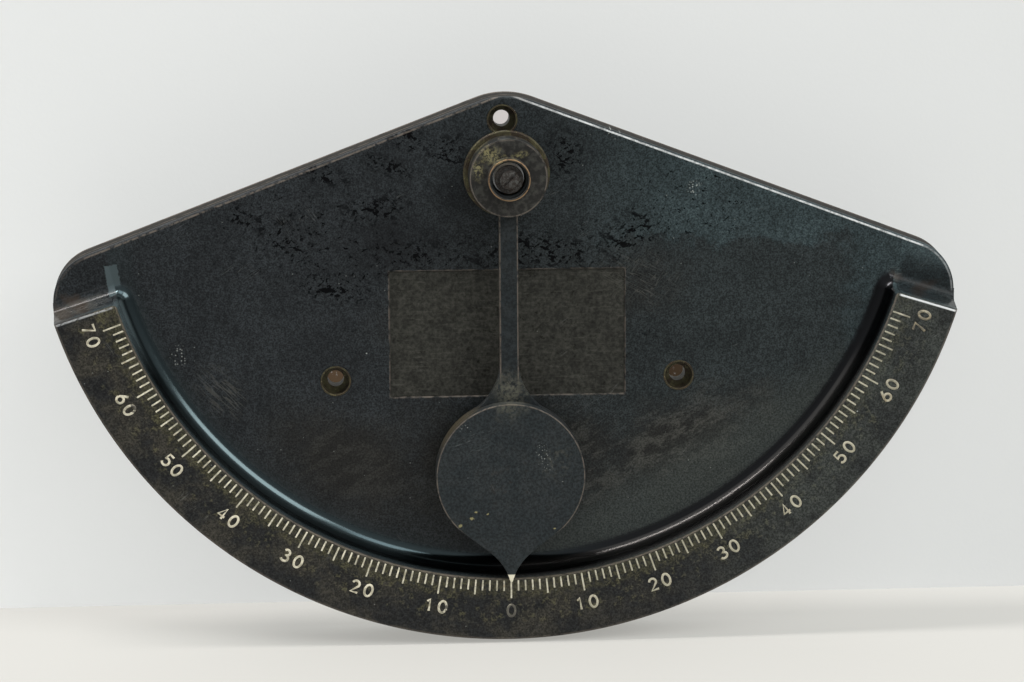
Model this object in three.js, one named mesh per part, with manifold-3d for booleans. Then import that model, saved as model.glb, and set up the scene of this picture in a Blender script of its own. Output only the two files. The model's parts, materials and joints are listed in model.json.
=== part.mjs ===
// A bulkhead clinometer: a black moulded fan-shaped case with a raised degree scale
// along its lower arc, and a brass pendulum that swings in front of it on a ball bearing.
// Millimetres, +Z up. The pivot axis is the Y axis and the front faces -Y.
// The case's back stands on the plane y = 0, so a height above the back is -y.
import * as THREE from 'three';
import { mergeVertices } from 'three/addons/utils/BufferGeometryUtils.js';
import Module from 'manifold-3d';

const wasm = await Module();
wasm.setup();

// Case, seen from the front as a fan about the pivot.
const scaleRadius = 160; // outer edge of the scale at its front
const scaleBand = 21.7; // width of the scale's flat top
const scaleHeight = 25.4; // scale surface above the back
const faceHeight = 12.7; // flat face above the back
const apexRise = 28.4; // where the two sloping top edges would meet above the pivot
const topSlope = 20.7; // degrees
const shoulderFillet = 18; // round corner between the arc and a top edge
const apexFillet = 27.6;
const draftAngle = 2; // degrees, outer walls
const edgeRound = 0.9;
const coveRadius = 6.35; // hollow fillet between the face and the scale's inner wall
const coveWallLean = 0.6; // how far the wall above the cove leans back
const endWallDraft = 10; // degrees, the walls above the two ends of the scale
const endFillet = 4;

// Hollow back of the case.
const caseWall = 4.5;
const faceThickness = 4.4;
const ribThickness = 3;
const ribSetback = 1; // ribs stop short of the back plane
const pivotBossRadius = 11;
const screwBossRadius = 8.6;
const pivotBossFloor = 2.4;

// Shallow bare panel moulded into the face.
const panelWidth = 80.8;
const panelHeight = 44;
const panelDrop = 55; // panel centre below the pivot
const panelDepth = 0.6;

// Three bulkhead screws through brass bushes.
const screwSpacing = 117.8;
const screwDrop = 70.8;
const topScrewRise = 18.2;
const topScrewOffset = -1.3;
const screwClearRadius = 2.78; // clears a 5.5 mm screw
const screwSeatRadius = 4.7;
const screwSeatDepth = 5.2;
const bushRadius = 5.2;
const bushSetback = 0.6; // bush stops short of the back plane

// Pivot, from the back to the front.
const insertRadius = 6.35;
const insertLength = 9.9;
const insertGroove = 0.5;
const insertGrooves = 3;
const studRootRadius = 3.1;
const studRootLength = 8.6;
const backplateRadius = 14.7;
const backplateThickness = 1.6;
const studShoulderRadius = 6.4;
const studShoulderLength = 1.7;
const studStepRadius = 4.4;
const studStepLength = 2.4;
const studScrewDepth = 7.5;
const pivotScrewRadius = 1.5;
const pivotHeadRadius = 3.3;
const pivotHeadHeight = 1.9;
const slotWidth = 0.9;
const slotDepth = 0.9;
const slotTurn = 45; // degrees, as the screw stands
const washerRadius = 4.8;
const washerThickness = 0.9;
const spacerRadius = 4.6;
const spacerLength = 3.9;

// Ball bearing on the stud.
const bearingBore = 3.175; // radius
const bearingRadius = 9.525;
const bearingWidth = 5.56;
const ballRadius = 1.5875;
const ballCount = 7;
const innerRingRadius = 5.3;
const outerRingBore = 7.4; // radius
const cageWall = 1.2;
const cageWidth = 4.6;
const raceGap = 0.08;
const pocketGap = 0.13;

// Pendulum hub.
const hubRadius = 13.2;
const hubBackGap = 1; // from the backplate to the turning hub
const hubFloorBore = 7.2; // radius
const neckRadius = 11.3;
const capDiscThickness = 3.3;
const capBore = 5.6; // radius
const collarRadius = 7.1;
const collarWall = 0.8;
const collarHeight = 4.8;
const collarPocket = 3.2;

// Pendulum arm and bob.
const armWidth = 6.35;
const armThickness = 3.2;
const armBack = 19.75; // height of the arm's back above the case's back
const bobRadius = 25.4;
const pointerLength = 36.8; // bob's centre to the tip
const flareFillet = 20;
const bobFrontThickness = 4.75;
const bobBackThickness = 1.5;
const pointerOverlap = 0.7; // how far the tip passes over the scale
const pointerThickness = 1.7;
const pointerBevelStart = 17.5; // tip to where it starts to thin
const pointerBevelEnd = 6; // tip to where the thinning ends
const bobScrewCircle = 14;
const bobScrewCount = 3;
const bobScrewRadius = 1.45;
const bobScrewHead = 2.7; // radius
const bobScrewHeadHeight = 1.3;
const bobScrewReach = 3; // into the front plate

// Half widths and drops below the bob's centre, as shares of its radius and of the pointer's length.
const pointerHalfWidthShares = [0.362, 0.142, 0.055, 0.014];
const pointerDropShares = [0.674, 0.783, 0.918, 1];
const pointerRootTurn = 45; // degrees from straight down, where the pointer leaves the disc

// Fits.
const fitGap = 0.1; // round a bush, ring or shank
const seatGap = 0.05; // between faces that seat on each other
const overrun = 2; // a cutter passes the surface it cuts
const mergeTolerance = 1e-4;

// Facets.
const arcSteps = 56;
const shoulderSteps = 10;
const apexSteps = 8;
const roundSteps = 3;
const coveSteps = 6;
const hubSides = 40;
const bearingSides = 28;
const bushSides = 26;
const screwSides = 24;
const smallSides = 16;
const cageSidesPerBall = 4;

// Worked out from the sizes above.
const rad = THREE.MathUtils.degToRad;
const draftAt = (height) => height * Math.tan(rad(draftAngle));
const backRadius = scaleRadius + draftAt(scaleHeight);
const scaleInnerRadius = scaleRadius - scaleBand;
const pointerReach = scaleInnerRadius + pointerOverlap; // pivot to the tip
const bobDrop = pointerReach - pointerLength; // pivot to the bob's centre
const lineReach = apexRise * Math.cos(rad(topSlope));
const shoulderShare = (shoulderFillet - lineReach) / (backRadius - shoulderFillet);
const scaleEnd = Math.acos(shoulderShare) - rad(topSlope); // half angle of the scale and of the arc
const shoulderReach = backRadius - shoulderFillet;
const apexCentre = (lineReach - apexFillet) / Math.cos(rad(topSlope));
const coveTop = scaleInnerRadius - coveWallLean;
const coveFoot = coveTop - coveRadius;
const panelFloor = faceHeight - panelDepth;
const cavityHeight = faceHeight - faceThickness;
const rimCavityHeight = scaleHeight - faceThickness;
const rimCavityInner = scaleInnerRadius + caseWall;
const rimCavityOuter = backRadius - caseWall - draftAt(rimCavityHeight);
const studShoulderBack = faceHeight + backplateThickness + seatGap;
const studStepBack = studShoulderBack + studShoulderLength;
const bearingBack = studStepBack + studStepLength + seatGap;
const bearingFront = bearingBack + bearingWidth;
const spacerFront = bearingFront + seatGap + spacerLength;
const washerBack = spacerFront + seatGap;
const screwHeadBack = washerBack + washerThickness + seatGap;
const studFront = spacerFront - fitGap;
const ballPitch = (bearingBore + bearingRadius) / 2;
const hubBack = faceHeight + backplateThickness + hubBackGap;
const armFront = armBack + armThickness;
const capBack = armFront + seatGap;
const capFront = capBack + capDiscThickness;
const collarFront = capFront + collarHeight;
const bobFrontBack = armFront + seatGap;
const bobFront = bobFrontBack + bobFrontThickness;
const bobBackFront = armBack - seatGap;
const bobBack = bobBackFront - bobBackThickness;

const colours = {
  phenolic: [0x141618, 0.35, 0],
  tarnishedBrass: [0x4a4330, 0.5, 0.8],
  brass: [0x7d6a3c, 0.4, 0.9],
  blackenedBrass: [0x1c2126, 0.55, 0.5],
  bearingSteel: [0x8a8d90, 0.25, 1],
  darkSteel: [0x3a3833, 0.45, 0.9],
};

function material(name) {
  const [color, roughness, metalness] = colours[name];
  return new THREE.MeshStandardMaterial({ color, roughness, metalness });
}

// Booleans.

function solid(geometry) {
  const bare = geometry.clone();
  bare.deleteAttribute('normal');
  bare.deleteAttribute('uv');
  const merged = mergeVertices(bare, mergeTolerance);
  const index = merged.index.array;
  const kept = [];
  for (let i = 0; i < index.length; i += 3) {
    const [a, b, c] = [index[i], index[i + 1], index[i + 2]];
    if (a !== b && b !== c && c !== a) kept.push(a, b, c);
  }
  const positions = merged.attributes.position.array;
  const made = (triangles) =>
    new wasm.Manifold(
      new wasm.Mesh({ numProp: 3, vertProperties: positions, triVerts: new Uint32Array(triangles) }),
    );
  const first = made(kept);
  return first.volume() > 0 ? first : made([...kept].reverse());
}

function cut(body, ...tools) {
  return tools.reduce((rest, tool) => rest.subtract(tool), body);
}

function join(...bodies) {
  return bodies.reduce((all, body) => all.add(body));
}

function piece(name, body, finish) {
  const mesh = body.getMesh();
  const geometry = new THREE.BufferGeometry();
  geometry.setAttribute('position', new THREE.BufferAttribute(mesh.vertProperties, mesh.numProp));
  geometry.setIndex(new THREE.BufferAttribute(mesh.triVerts, 1));
  const facets = geometry.toNonIndexed();
  facets.computeVertexNormals();
  const made = new THREE.Mesh(facets, material(finish));
  made.name = name;
  return made;
}

// Forms. A profile is a list of [radius, height above the back] pairs.

function turned(profile, sides) {
  const points = profile.map(([radius, height]) => new THREE.Vector2(radius, -height));
  return solid(new THREE.LatheGeometry(points, sides));
}

function ringOf(profile, sides) {
  return turned([...profile, profile[0]], sides);
}

function disc(radius, back, front, sides) {
  return turned([[0, back], [radius, back], [radius, front], [0, front]], sides);
}

function sleeve(bore, radius, back, front, sides) {
  return ringOf([[bore, back], [radius, back], [radius, front], [bore, front]], sides);
}

function moved(body, x, z) {
  return body.translate([x, 0, z]);
}

// A flat shape drawn in x and z, standing from one height to another.
function plate(shape, back, front, curveSegments = hubSides) {
  const depth = front - back;
  const geometry = new THREE.ExtrudeGeometry(shape, { depth, bevelEnabled: false, curveSegments });
  geometry.rotateX(Math.PI / 2);
  geometry.translate(0, -back, 0);
  return solid(geometry);
}

function arcPoints(x, z, radius, from, to, steps) {
  return Array.from({ length: steps + 1 }, (_, i) => {
    const turn = from + ((to - from) * i) / steps;
    return [x + radius * Math.cos(turn), z + radius * Math.sin(turn)];
  });
}

// The fan's outline, drawn in by an inset: arc, right shoulder, apex, left shoulder.
function outline(inset) {
  const right = Math.PI / 2 - rad(topSlope);
  const left = Math.PI - right;
  const start = scaleEnd - Math.PI / 2;
  const x = shoulderReach * Math.sin(scaleEnd);
  const z = -shoulderReach * Math.cos(scaleEnd);
  const fillet = shoulderFillet - inset;
  const arc = arcPoints(0, 0, backRadius - inset, -Math.PI - start, start, arcSteps);
  const rightShoulder = arcPoints(x, z, fillet, start, right, shoulderSteps);
  const apex = arcPoints(0, apexCentre, apexFillet - inset, right, left, apexSteps);
  const leftShoulder = arcPoints(-x, z, fillet, left, Math.PI - start, shoulderSteps);
  return [...arc, ...rightShoulder.slice(1), ...apex, ...leftShoulder.slice(0, -1)];
}

// A body through closed rings of points at rising heights, closed at both ends.
function loft(levels) {
  const rings = levels.map(([inset, height]) => outline(inset).map(([x, z]) => [x, -height, z]));
  const count = rings[0].length;
  const positions = rings.flat(2);
  const index = [];
  for (let level = 0; level + 1 < rings.length; level += 1) {
    for (let i = 0; i < count; i += 1) {
      const a = level * count + i;
      const b = level * count + ((i + 1) % count);
      index.push(a, b, b + count, a, b + count, a + count);
    }
  }
  const flat = rings[0].map(([x, , z]) => new THREE.Vector2(x, z));
  const top = (rings.length - 1) * count;
  for (const [a, b, c] of THREE.ShapeUtils.triangulateShape(flat, [])) {
    index.push(a, c, b, top + a, top + b, top + c);
  }
  const geometry = new THREE.BufferGeometry();
  geometry.setAttribute('position', new THREE.Float32BufferAttribute(positions, 3));
  geometry.setIndex(index);
  return solid(geometry);
}

// Levels of a drafted wall that ends in a rounded edge.
function draftedLevels(breakHeight, topHeight) {
  const levels = [[0, 0], [draftAt(breakHeight), breakHeight]];
  for (let i = 0; i <= roundSteps; i += 1) {
    const turn = (Math.PI / 2) * (i / roundSteps);
    const height = topHeight - edgeRound * (1 - Math.sin(turn));
    levels.push([draftAt(height) + edgeRound * (1 - Math.cos(turn)), height]);
  }
  return levels.filter(([, height], i) => i === 0 || height > levels[i - 1][1]);
}

// Case.

function rimBlock() {
  const tall = loft(draftedLevels(faceHeight - edgeRound, scaleHeight));
  const start = faceHeight - edgeRound - overrun;
  const outside = backRadius + overrun;
  const cove = arcPoints(coveFoot, faceHeight + coveRadius, coveRadius, -Math.PI / 2, 0, coveSteps);
  const profile = [
    [coveFoot, start],
    ...cove,
    [scaleInnerRadius, scaleHeight],
    [scaleInnerRadius + coveWallLean, scaleHeight + overrun],
    [outside, scaleHeight + overrun],
    [outside, start],
  ];
  return tall.intersect(ringOf(profile, caseSides()));
}

// The lathe's facets fall on the same angles as the arc's points.
function caseSides() {
  return Math.round((2 * Math.PI * arcSteps) / (2 * scaleEnd));
}

// Takes the rim away beyond one end of the scale, leaving a leaning wall with a fillet at its foot.
function endCutter(side) {
  const draft = rad(endWallDraft);
  const lean = Math.tan(draft);
  const footHeight = faceHeight + endFillet;
  const filletX = (scaleHeight - footHeight) * lean + endFillet / Math.cos(draft);
  const below = faceHeight - edgeRound - 2 * overrun;
  const reach = backRadius;
  const shape = new THREE.Shape();
  shape.moveTo(-overrun * lean, scaleHeight + overrun);
  const fillet = arcPoints(filletX, footHeight, endFillet, Math.PI + draft, 1.5 * Math.PI, coveSteps);
  for (const [x, y] of fillet) {
    shape.lineTo(x, y);
  }
  shape.lineTo(filletX, below);
  shape.lineTo(reach, below);
  shape.lineTo(reach, scaleHeight + overrun);
  const geometry = new THREE.ExtrudeGeometry(shape, { depth: reach, bevelEnabled: false });
  const along = new THREE.Vector3(side * Math.cos(scaleEnd), 0, Math.sin(scaleEnd));
  const up = new THREE.Vector3(0, -1, 0);
  const out = new THREE.Vector3(side * Math.sin(scaleEnd), 0, -Math.cos(scaleEnd));
  const depth = out.clone().multiplyScalar(side);
  const placed = new THREE.Matrix4().makeBasis(along, up, depth);
  const from = side > 0 ? coveFoot - overrun : coveFoot - overrun + reach;
  placed.setPosition(out.multiplyScalar(from));
  geometry.applyMatrix4(placed);
  return solid(geometry);
}

// Everything on the far side of the pivot, where the rim has no place.
function upperCutter() {
  const half = backRadius + overrun;
  const below = faceHeight - edgeRound - 2 * overrun;
  const shape = new THREE.Shape();
  shape.moveTo(-half, -coveFoot * Math.cos(scaleEnd));
  shape.lineTo(half, -coveFoot * Math.cos(scaleEnd));
  shape.lineTo(half, half);
  shape.lineTo(-half, half);
  return plate(shape, below, scaleHeight + overrun);
}

function screwPlaces() {
  const half = screwSpacing / 2;
  return { top: [topScrewOffset, topScrewRise], left: [-half, -screwDrop], right: [half, -screwDrop] };
}

function panelRecess() {
  const half = panelWidth / 2;
  const shape = new THREE.Shape();
  shape.moveTo(-half, -panelDrop - panelHeight / 2);
  shape.lineTo(half, -panelDrop - panelHeight / 2);
  shape.lineTo(half, -panelDrop + panelHeight / 2);
  shape.lineTo(-half, -panelDrop + panelHeight / 2);
  return plate(shape, panelFloor, faceHeight + overrun);
}

// A straight rib from the pivot boss out to the rim, through a point on the face.
function rib(x, z) {
  const angle = Math.atan2(z, x);
  const geometry = new THREE.BoxGeometry(backRadius, scaleHeight, ribThickness);
  geometry.translate(backRadius / 2, -scaleHeight / 2 - ribSetback, 0);
  geometry.rotateY(-angle);
  return solid(geometry);
}

function hollow() {
  const wide = loft([
    [caseWall, -overrun],
    [caseWall, 0],
    [caseWall + draftAt(cavityHeight), cavityHeight],
  ]);
  const channel = ringOf(
    [
      [rimCavityInner, -overrun],
      [rimCavityInner, rimCavityHeight],
      [rimCavityOuter, rimCavityHeight],
      [backRadius - caseWall, -overrun],
    ],
    caseSides(),
  );
  const half = (backRadius - caseWall) * Math.cos(scaleEnd) + caseWall;
  const lower = new THREE.Shape();
  lower.moveTo(-backRadius, -backRadius);
  lower.lineTo(backRadius, -backRadius);
  lower.lineTo(backRadius, -half);
  lower.lineTo(-backRadius, -half);
  const lowerChannel = channel.intersect(plate(lower, -2 * overrun, scaleHeight));
  const places = screwPlaces();
  const bosses = Object.values(places).map(([x, z]) =>
    moved(disc(screwBossRadius, -2 * overrun, faceHeight, bushSides), x, z),
  );
  const ribs = [rib(0, -1), rib(...places.left), rib(...places.right)];
  const pivotBoss = disc(pivotBossRadius, -2 * overrun, faceHeight, hubSides);
  return cut(join(wide, lowerChannel), pivotBoss, ...bosses, ...ribs);
}

function caseBody() {
  const slab = loft(draftedLevels(faceHeight - edgeRound, faceHeight));
  const rim = cut(rimBlock(), endCutter(1), endCutter(-1), upperCutter());
  const hole = disc(bushRadius + fitGap, -overrun, faceHeight + overrun, bushSides);
  const holes = Object.values(screwPlaces()).map(([x, z]) => moved(hole, x, z));
  const insertHole = disc(insertRadius + fitGap, pivotBossFloor, faceHeight + overrun, bushSides);
  return cut(join(slab, rim), hollow(), panelRecess(), insertHole, ...holes);
}

// Fixed fittings.

function screwBush() {
  return ringOf(
    [
      [screwClearRadius, bushSetback],
      [bushRadius, bushSetback],
      [bushRadius, faceHeight],
      [screwSeatRadius, faceHeight],
      [screwSeatRadius, faceHeight - screwSeatDepth],
      [screwClearRadius, faceHeight - screwSeatDepth],
    ],
    bushSides,
  );
}

function pivotInsert() {
  const back = faceHeight - insertLength;
  const floor = back + insertGroove;
  const bore = studRootRadius + fitGap;
  const pitch = insertLength / (insertGrooves + 1);
  const profile = [[0, floor], [bore, floor], [bore, faceHeight], [insertRadius, faceHeight]];
  for (let i = 1; i <= insertGrooves; i += 1) {
    const height = faceHeight - i * pitch;
    profile.push([insertRadius, height + insertGroove]);
    profile.push([insertRadius - insertGroove, height]);
    profile.push([insertRadius, height - insertGroove]);
  }
  profile.push([insertRadius, back], [0, back]);
  return turned(profile, bushSides);
}

function pivotBackplate() {
  const front = faceHeight + backplateThickness;
  const chamfer = backplateThickness / 4;
  return ringOf(
    [
      [studRootRadius + fitGap, faceHeight],
      [backplateRadius, faceHeight],
      [backplateRadius, front - chamfer],
      [backplateRadius - chamfer, front],
      [studRootRadius + fitGap, front],
    ],
    hubSides,
  );
}

function pivotStud() {
  const seat = bearingBore - seatGap;
  const bore = pivotScrewRadius + fitGap;
  return turned(
    [
      [0, studShoulderBack - studRootLength],
      [studRootRadius, studShoulderBack - studRootLength],
      [studRootRadius, studShoulderBack],
      [studShoulderRadius, studShoulderBack],
      [studShoulderRadius, studStepBack],
      [studStepRadius, studStepBack],
      [studStepRadius, bearingBack - seatGap],
      [seat, bearingBack - seatGap],
      [seat, studFront],
      [bore, studFront],
      [bore, studFront - studScrewDepth],
      [0, studFront - studScrewDepth],
    ],
    bushSides,
  );
}

function bearingSpacer() {
  return sleeve(bearingBore + fitGap, spacerRadius, bearingFront + seatGap, spacerFront, bushSides);
}

function retainingWasher() {
  const front = washerBack + washerThickness;
  return sleeve(pivotScrewRadius + fitGap, washerRadius, washerBack, front, bushSides);
}

function pivotScrew() {
  const top = screwHeadBack + pivotHeadHeight;
  const chamfer = pivotHeadHeight / 6;
  const blank = turned(
    [
      [0, studFront - studScrewDepth + overrun],
      [pivotScrewRadius, studFront - studScrewDepth + overrun],
      [pivotScrewRadius, screwHeadBack],
      [pivotHeadRadius, screwHeadBack],
      [pivotHeadRadius, top - chamfer],
      [pivotHeadRadius - chamfer, top],
      [0, top],
    ],
    screwSides,
  );
  const slot = new THREE.BoxGeometry(4 * pivotHeadRadius, 2 * slotDepth, slotWidth);
  slot.rotateY(-rad(slotTurn));
  slot.translate(0, -top, 0);
  return cut(blank, solid(slot));
}

// Ball bearing.

// Groove points across one race, from the back to the front.
function raceGroove(faceRadius, outward) {
  const groove = ballRadius + raceGap;
  const middle = (bearingBack + bearingFront) / 2;
  const half = Math.acos(Math.abs(faceRadius - ballPitch) / groove);
  return Array.from({ length: coveSteps }, (_, i) => {
    const turn = -half + (2 * half * i) / (coveSteps - 1);
    return [ballPitch + outward * groove * Math.cos(turn), middle + groove * Math.sin(turn)];
  });
}

function innerRing() {
  return ringOf(
    [
      [bearingBore, bearingFront],
      [bearingBore, bearingBack],
      [innerRingRadius, bearingBack],
      ...raceGroove(innerRingRadius, -1),
      [innerRingRadius, bearingFront],
    ],
    bearingSides,
  );
}

function outerRing() {
  return ringOf(
    [
      [bearingRadius, bearingFront],
      [bearingRadius, bearingBack],
      [outerRingBore, bearingBack],
      ...raceGroove(outerRingBore, 1),
      [outerRingBore, bearingFront],
    ],
    bearingSides,
  );
}

function ballPlace(i) {
  const turn = (2 * Math.PI * i) / ballCount;
  return [ballPitch * Math.sin(turn), ballPitch * Math.cos(turn)];
}

function ball(i) {
  const [x, z] = ballPlace(i);
  const geometry = new THREE.SphereGeometry(ballRadius, smallSides * 0.75, smallSides / 2);
  geometry.translate(x, -(bearingBack + bearingFront) / 2, z);
  return solid(geometry);
}

function cage() {
  const inner = ballPitch - cageWall / 2;
  const outer = ballPitch + cageWall / 2;
  const middle = (bearingBack + bearingFront) / 2;
  const half = cageWidth / 2;
  const band = sleeve(inner, outer, middle - half, middle + half, ballCount * cageSidesPerBall);
  const pocketRadius = ballRadius + pocketGap;
  const pockets = Array.from({ length: ballCount }, (_, i) => {
    const [x, z] = ballPlace(i);
    const pocket = new THREE.CylinderGeometry(pocketRadius, pocketRadius, 2 * ballRadius, smallSides);
    pocket.rotateX(Math.PI / 2);
    pocket.rotateY(Math.atan2(x, z));
    pocket.translate(x, -middle, z);
    return solid(pocket);
  });
  return cut(band, ...pockets);
}

// Pendulum.

function hubHousing() {
  const seat = bearingRadius + seatGap;
  const chamfer = edgeRound / 2;
  return ringOf(
    [
      [hubFloorBore, hubBack],
      [hubRadius - chamfer, hubBack],
      [hubRadius, hubBack + chamfer],
      [hubRadius, armBack - seatGap],
      [neckRadius, armBack - seatGap],
      [neckRadius, armFront],
      [seat, armFront],
      [seat, bearingBack - seatGap],
      [hubFloorBore, bearingBack - seatGap],
    ],
    hubSides,
  );
}

function hubCap() {
  const chamfer = edgeRound / 3;
  const lip = bearingFront + seatGap;
  const pocketFloor = collarFront - collarPocket;
  const seat = bearingRadius + seatGap;
  return ringOf(
    [
      [capBore, lip],
      [seat, lip],
      [seat, capBack],
      [hubRadius, capBack],
      [hubRadius, capFront - chamfer],
      [hubRadius - chamfer, capFront],
      [collarRadius + chamfer, capFront],
      [collarRadius, capFront + chamfer],
      [collarRadius, collarFront - chamfer],
      [collarRadius - chamfer, collarFront],
      [collarRadius - collarWall, collarFront],
      [collarRadius - collarWall, pocketFloor],
      [capBore, pocketFloor],
    ],
    hubSides,
  );
}

function bobScrewPlaces() {
  return Array.from({ length: bobScrewCount }, (_, i) => {
    const turn = (2 * Math.PI * i) / bobScrewCount;
    return [bobScrewCircle * Math.sin(turn), bobScrewCircle * Math.cos(turn) - bobDrop];
  });
}

function holeIn(shape, x, z, radius, sides) {
  const edge = arcPoints(x, z, radius, 2 * Math.PI, 0, sides).slice(1);
  shape.holes.push(new THREE.Path(edge.map(([u, v]) => new THREE.Vector2(u, v))));
}

// Flat bar with an eye for the hub, which flares into a round tail behind the bob.
function pendulumArm() {
  const half = armWidth / 2;
  const eyeTurn = Math.asin(half / hubRadius);
  const filletX = half + flareFillet;
  const filletZ = Math.sqrt((bobRadius + flareFillet) ** 2 - filletX ** 2) - bobDrop;
  const tailTurn = Math.atan2(filletZ + bobDrop, filletX);
  const down = -Math.PI / 2;
  const shape = new THREE.Shape();
  shape.absarc(0, 0, hubRadius, down + eyeTurn, down - eyeTurn + 2 * Math.PI, false);
  shape.absarc(-filletX, filletZ, flareFillet, 0, -tailTurn, true);
  shape.absarc(0, -bobDrop, bobRadius, Math.PI - tailTurn, 2 * Math.PI + tailTurn, false);
  shape.absarc(filletX, filletZ, flareFillet, Math.PI + tailTurn, Math.PI, true);
  holeIn(shape, 0, 0, neckRadius + fitGap, hubSides);
  bobScrewPlaces().forEach(([x, z]) => holeIn(shape, x, z, bobScrewRadius + fitGap, smallSides));
  return plate(shape, armBack, armFront, hubSides / 2);
}

// Drop-shaped front plate of the bob, whose tip is thinned from behind to pass over the scale.
function bobFrontPlate() {
  const root = rad(pointerRootTurn);
  const points = pointerHalfWidthShares.map((share, i) => [
    share * bobRadius,
    -bobDrop - pointerDropShares[i] * pointerLength,
  ]);
  const [neck, bend, point, tip] = points;
  const down = -Math.PI / 2;
  const shape = new THREE.Shape();
  shape.absarc(0, -bobDrop, bobRadius, down + root, down - root + 2 * Math.PI, false);
  shape.lineTo(-neck[0], neck[1]);
  shape.quadraticCurveTo(-bend[0], bend[1], -point[0], point[1]);
  shape.lineTo(-tip[0], tip[1]);
  shape.lineTo(tip[0], tip[1]);
  shape.lineTo(point[0], point[1]);
  shape.quadraticCurveTo(bend[0], bend[1], neck[0], neck[1]);
  const blank = plate(shape, bobFrontBack, bobFront, smallSides * 2);
  const thin = bobFront - pointerThickness;
  const bevel = new THREE.Shape();
  bevel.moveTo(pointerBevelStart - pointerReach, bobFrontBack - overrun);
  bevel.lineTo(pointerBevelStart - pointerReach, bobFrontBack);
  bevel.lineTo(pointerBevelEnd - pointerReach, thin);
  bevel.lineTo(-pointerReach - overrun, thin);
  bevel.lineTo(-pointerReach - overrun, bobFrontBack - overrun);
  const wedge = new THREE.ExtrudeGeometry(bevel, { depth: 2 * bobRadius, bevelEnabled: false });
  const across = new THREE.Vector3(-1, 0, 0);
  const up = new THREE.Vector3(0, 0, 1);
  const forward = new THREE.Vector3(0, -1, 0);
  wedge.applyMatrix4(new THREE.Matrix4().makeBasis(up, forward, across.negate()));
  wedge.translate(-bobRadius, 0, 0);
  const holeFloor = bobFrontBack + bobScrewReach + fitGap;
  const hole = disc(bobScrewRadius + fitGap, bobFrontBack - overrun, holeFloor, smallSides);
  const holes = bobScrewPlaces().map(([x, z]) => moved(hole, x, z));
  return cut(blank, solid(wedge), ...holes);
}

function bobBackPlate() {
  const chamfer = bobBackThickness / 2;
  const blank = moved(
    turned(
      [
        [0, bobBack],
        [bobRadius - chamfer, bobBack],
        [bobRadius, bobBack + chamfer],
        [bobRadius, bobBackFront],
        [0, bobBackFront],
      ],
      hubSides,
    ),
    0,
    -bobDrop,
  );
  const shank = bobScrewRadius + fitGap;
  const head = bobScrewHead + fitGap;
  const sink = turned(
    [
      [0, bobBack - overrun],
      [head, bobBack - overrun],
      [head, bobBack],
      [shank, bobBack + bobScrewHeadHeight],
      [shank, bobBackFront + overrun],
      [0, bobBackFront + overrun],
    ],
    smallSides,
  );
  return cut(blank, ...bobScrewPlaces().map(([x, z]) => moved(sink, x, z)));
}

function bobScrew(i) {
  const [x, z] = bobScrewPlaces()[i];
  const blank = turned(
    [
      [0, bobBack],
      [bobScrewHead, bobBack],
      [bobScrewRadius, bobBack + bobScrewHeadHeight],
      [bobScrewRadius, bobFrontBack + bobScrewReach],
      [0, bobFrontBack + bobScrewReach],
    ],
    smallSides,
  );
  const slot = new THREE.BoxGeometry(4 * bobScrewHead, bobScrewHeadHeight / 2, slotWidth / 2);
  slot.translate(0, -bobBack, 0);
  return moved(cut(blank, solid(slot)), x, z);
}

// Assembly.

function fixedParts() {
  const group = new THREE.Group();
  group.add(piece('case', caseBody(), 'phenolic'));
  for (const [side, [x, z]] of Object.entries(screwPlaces())) {
    group.add(piece(`${side}_screw_bush`, moved(screwBush(), x, z), 'tarnishedBrass'));
  }
  group.add(piece('pivot_insert', pivotInsert(), 'brass'));
  group.add(piece('pivot_backplate', pivotBackplate(), 'tarnishedBrass'));
  group.add(piece('pivot_stud', pivotStud(), 'darkSteel'));
  group.add(piece('bearing_inner_ring', innerRing(), 'bearingSteel'));
  group.add(piece('bearing_spacer', bearingSpacer(), 'brass'));
  group.add(piece('retaining_washer', retainingWasher(), 'darkSteel'));
  group.add(piece('pivot_screw', pivotScrew(), 'darkSteel'));
  return group;
}

function ballSet() {
  const group = new THREE.Group();
  group.add(piece('bearing_cage', cage(), 'brass'));
  for (let i = 0; i < ballCount; i += 1) {
    group.add(piece(`bearing_ball_${i + 1}`, ball(i), 'bearingSteel'));
  }
  return group;
}

function pendulum() {
  const group = new THREE.Group();
  group.add(piece('bearing_outer_ring', outerRing(), 'bearingSteel'));
  group.add(piece('hub_housing', hubHousing(), 'tarnishedBrass'));
  group.add(piece('hub_cap', hubCap(), 'tarnishedBrass'));
  group.add(piece('pendulum_arm', pendulumArm(), 'blackenedBrass'));
  group.add(piece('bob_front_plate', bobFrontPlate(), 'blackenedBrass'));
  group.add(piece('bob_back_plate', bobBackPlate(), 'blackenedBrass'));
  for (let i = 0; i < bobScrewCount; i += 1) {
    group.add(piece(`bob_screw_${i + 1}`, bobScrew(i), 'darkSteel'));
  }
  return group;
}

const clinometer = new THREE.Group();
clinometer.add(fixedParts(), ballSet(), pendulum());

export default clinometer;
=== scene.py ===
"""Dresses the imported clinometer: finer pieces, finishes, scale marks and a plain studio.

Lengths are in metres and +Z is up. The pivot axis is the Y axis, the front faces -Y,
and a height above the back of the case is -y.
"""
import json
import math

import bpy
from mathutils import Matrix, Vector


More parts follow.
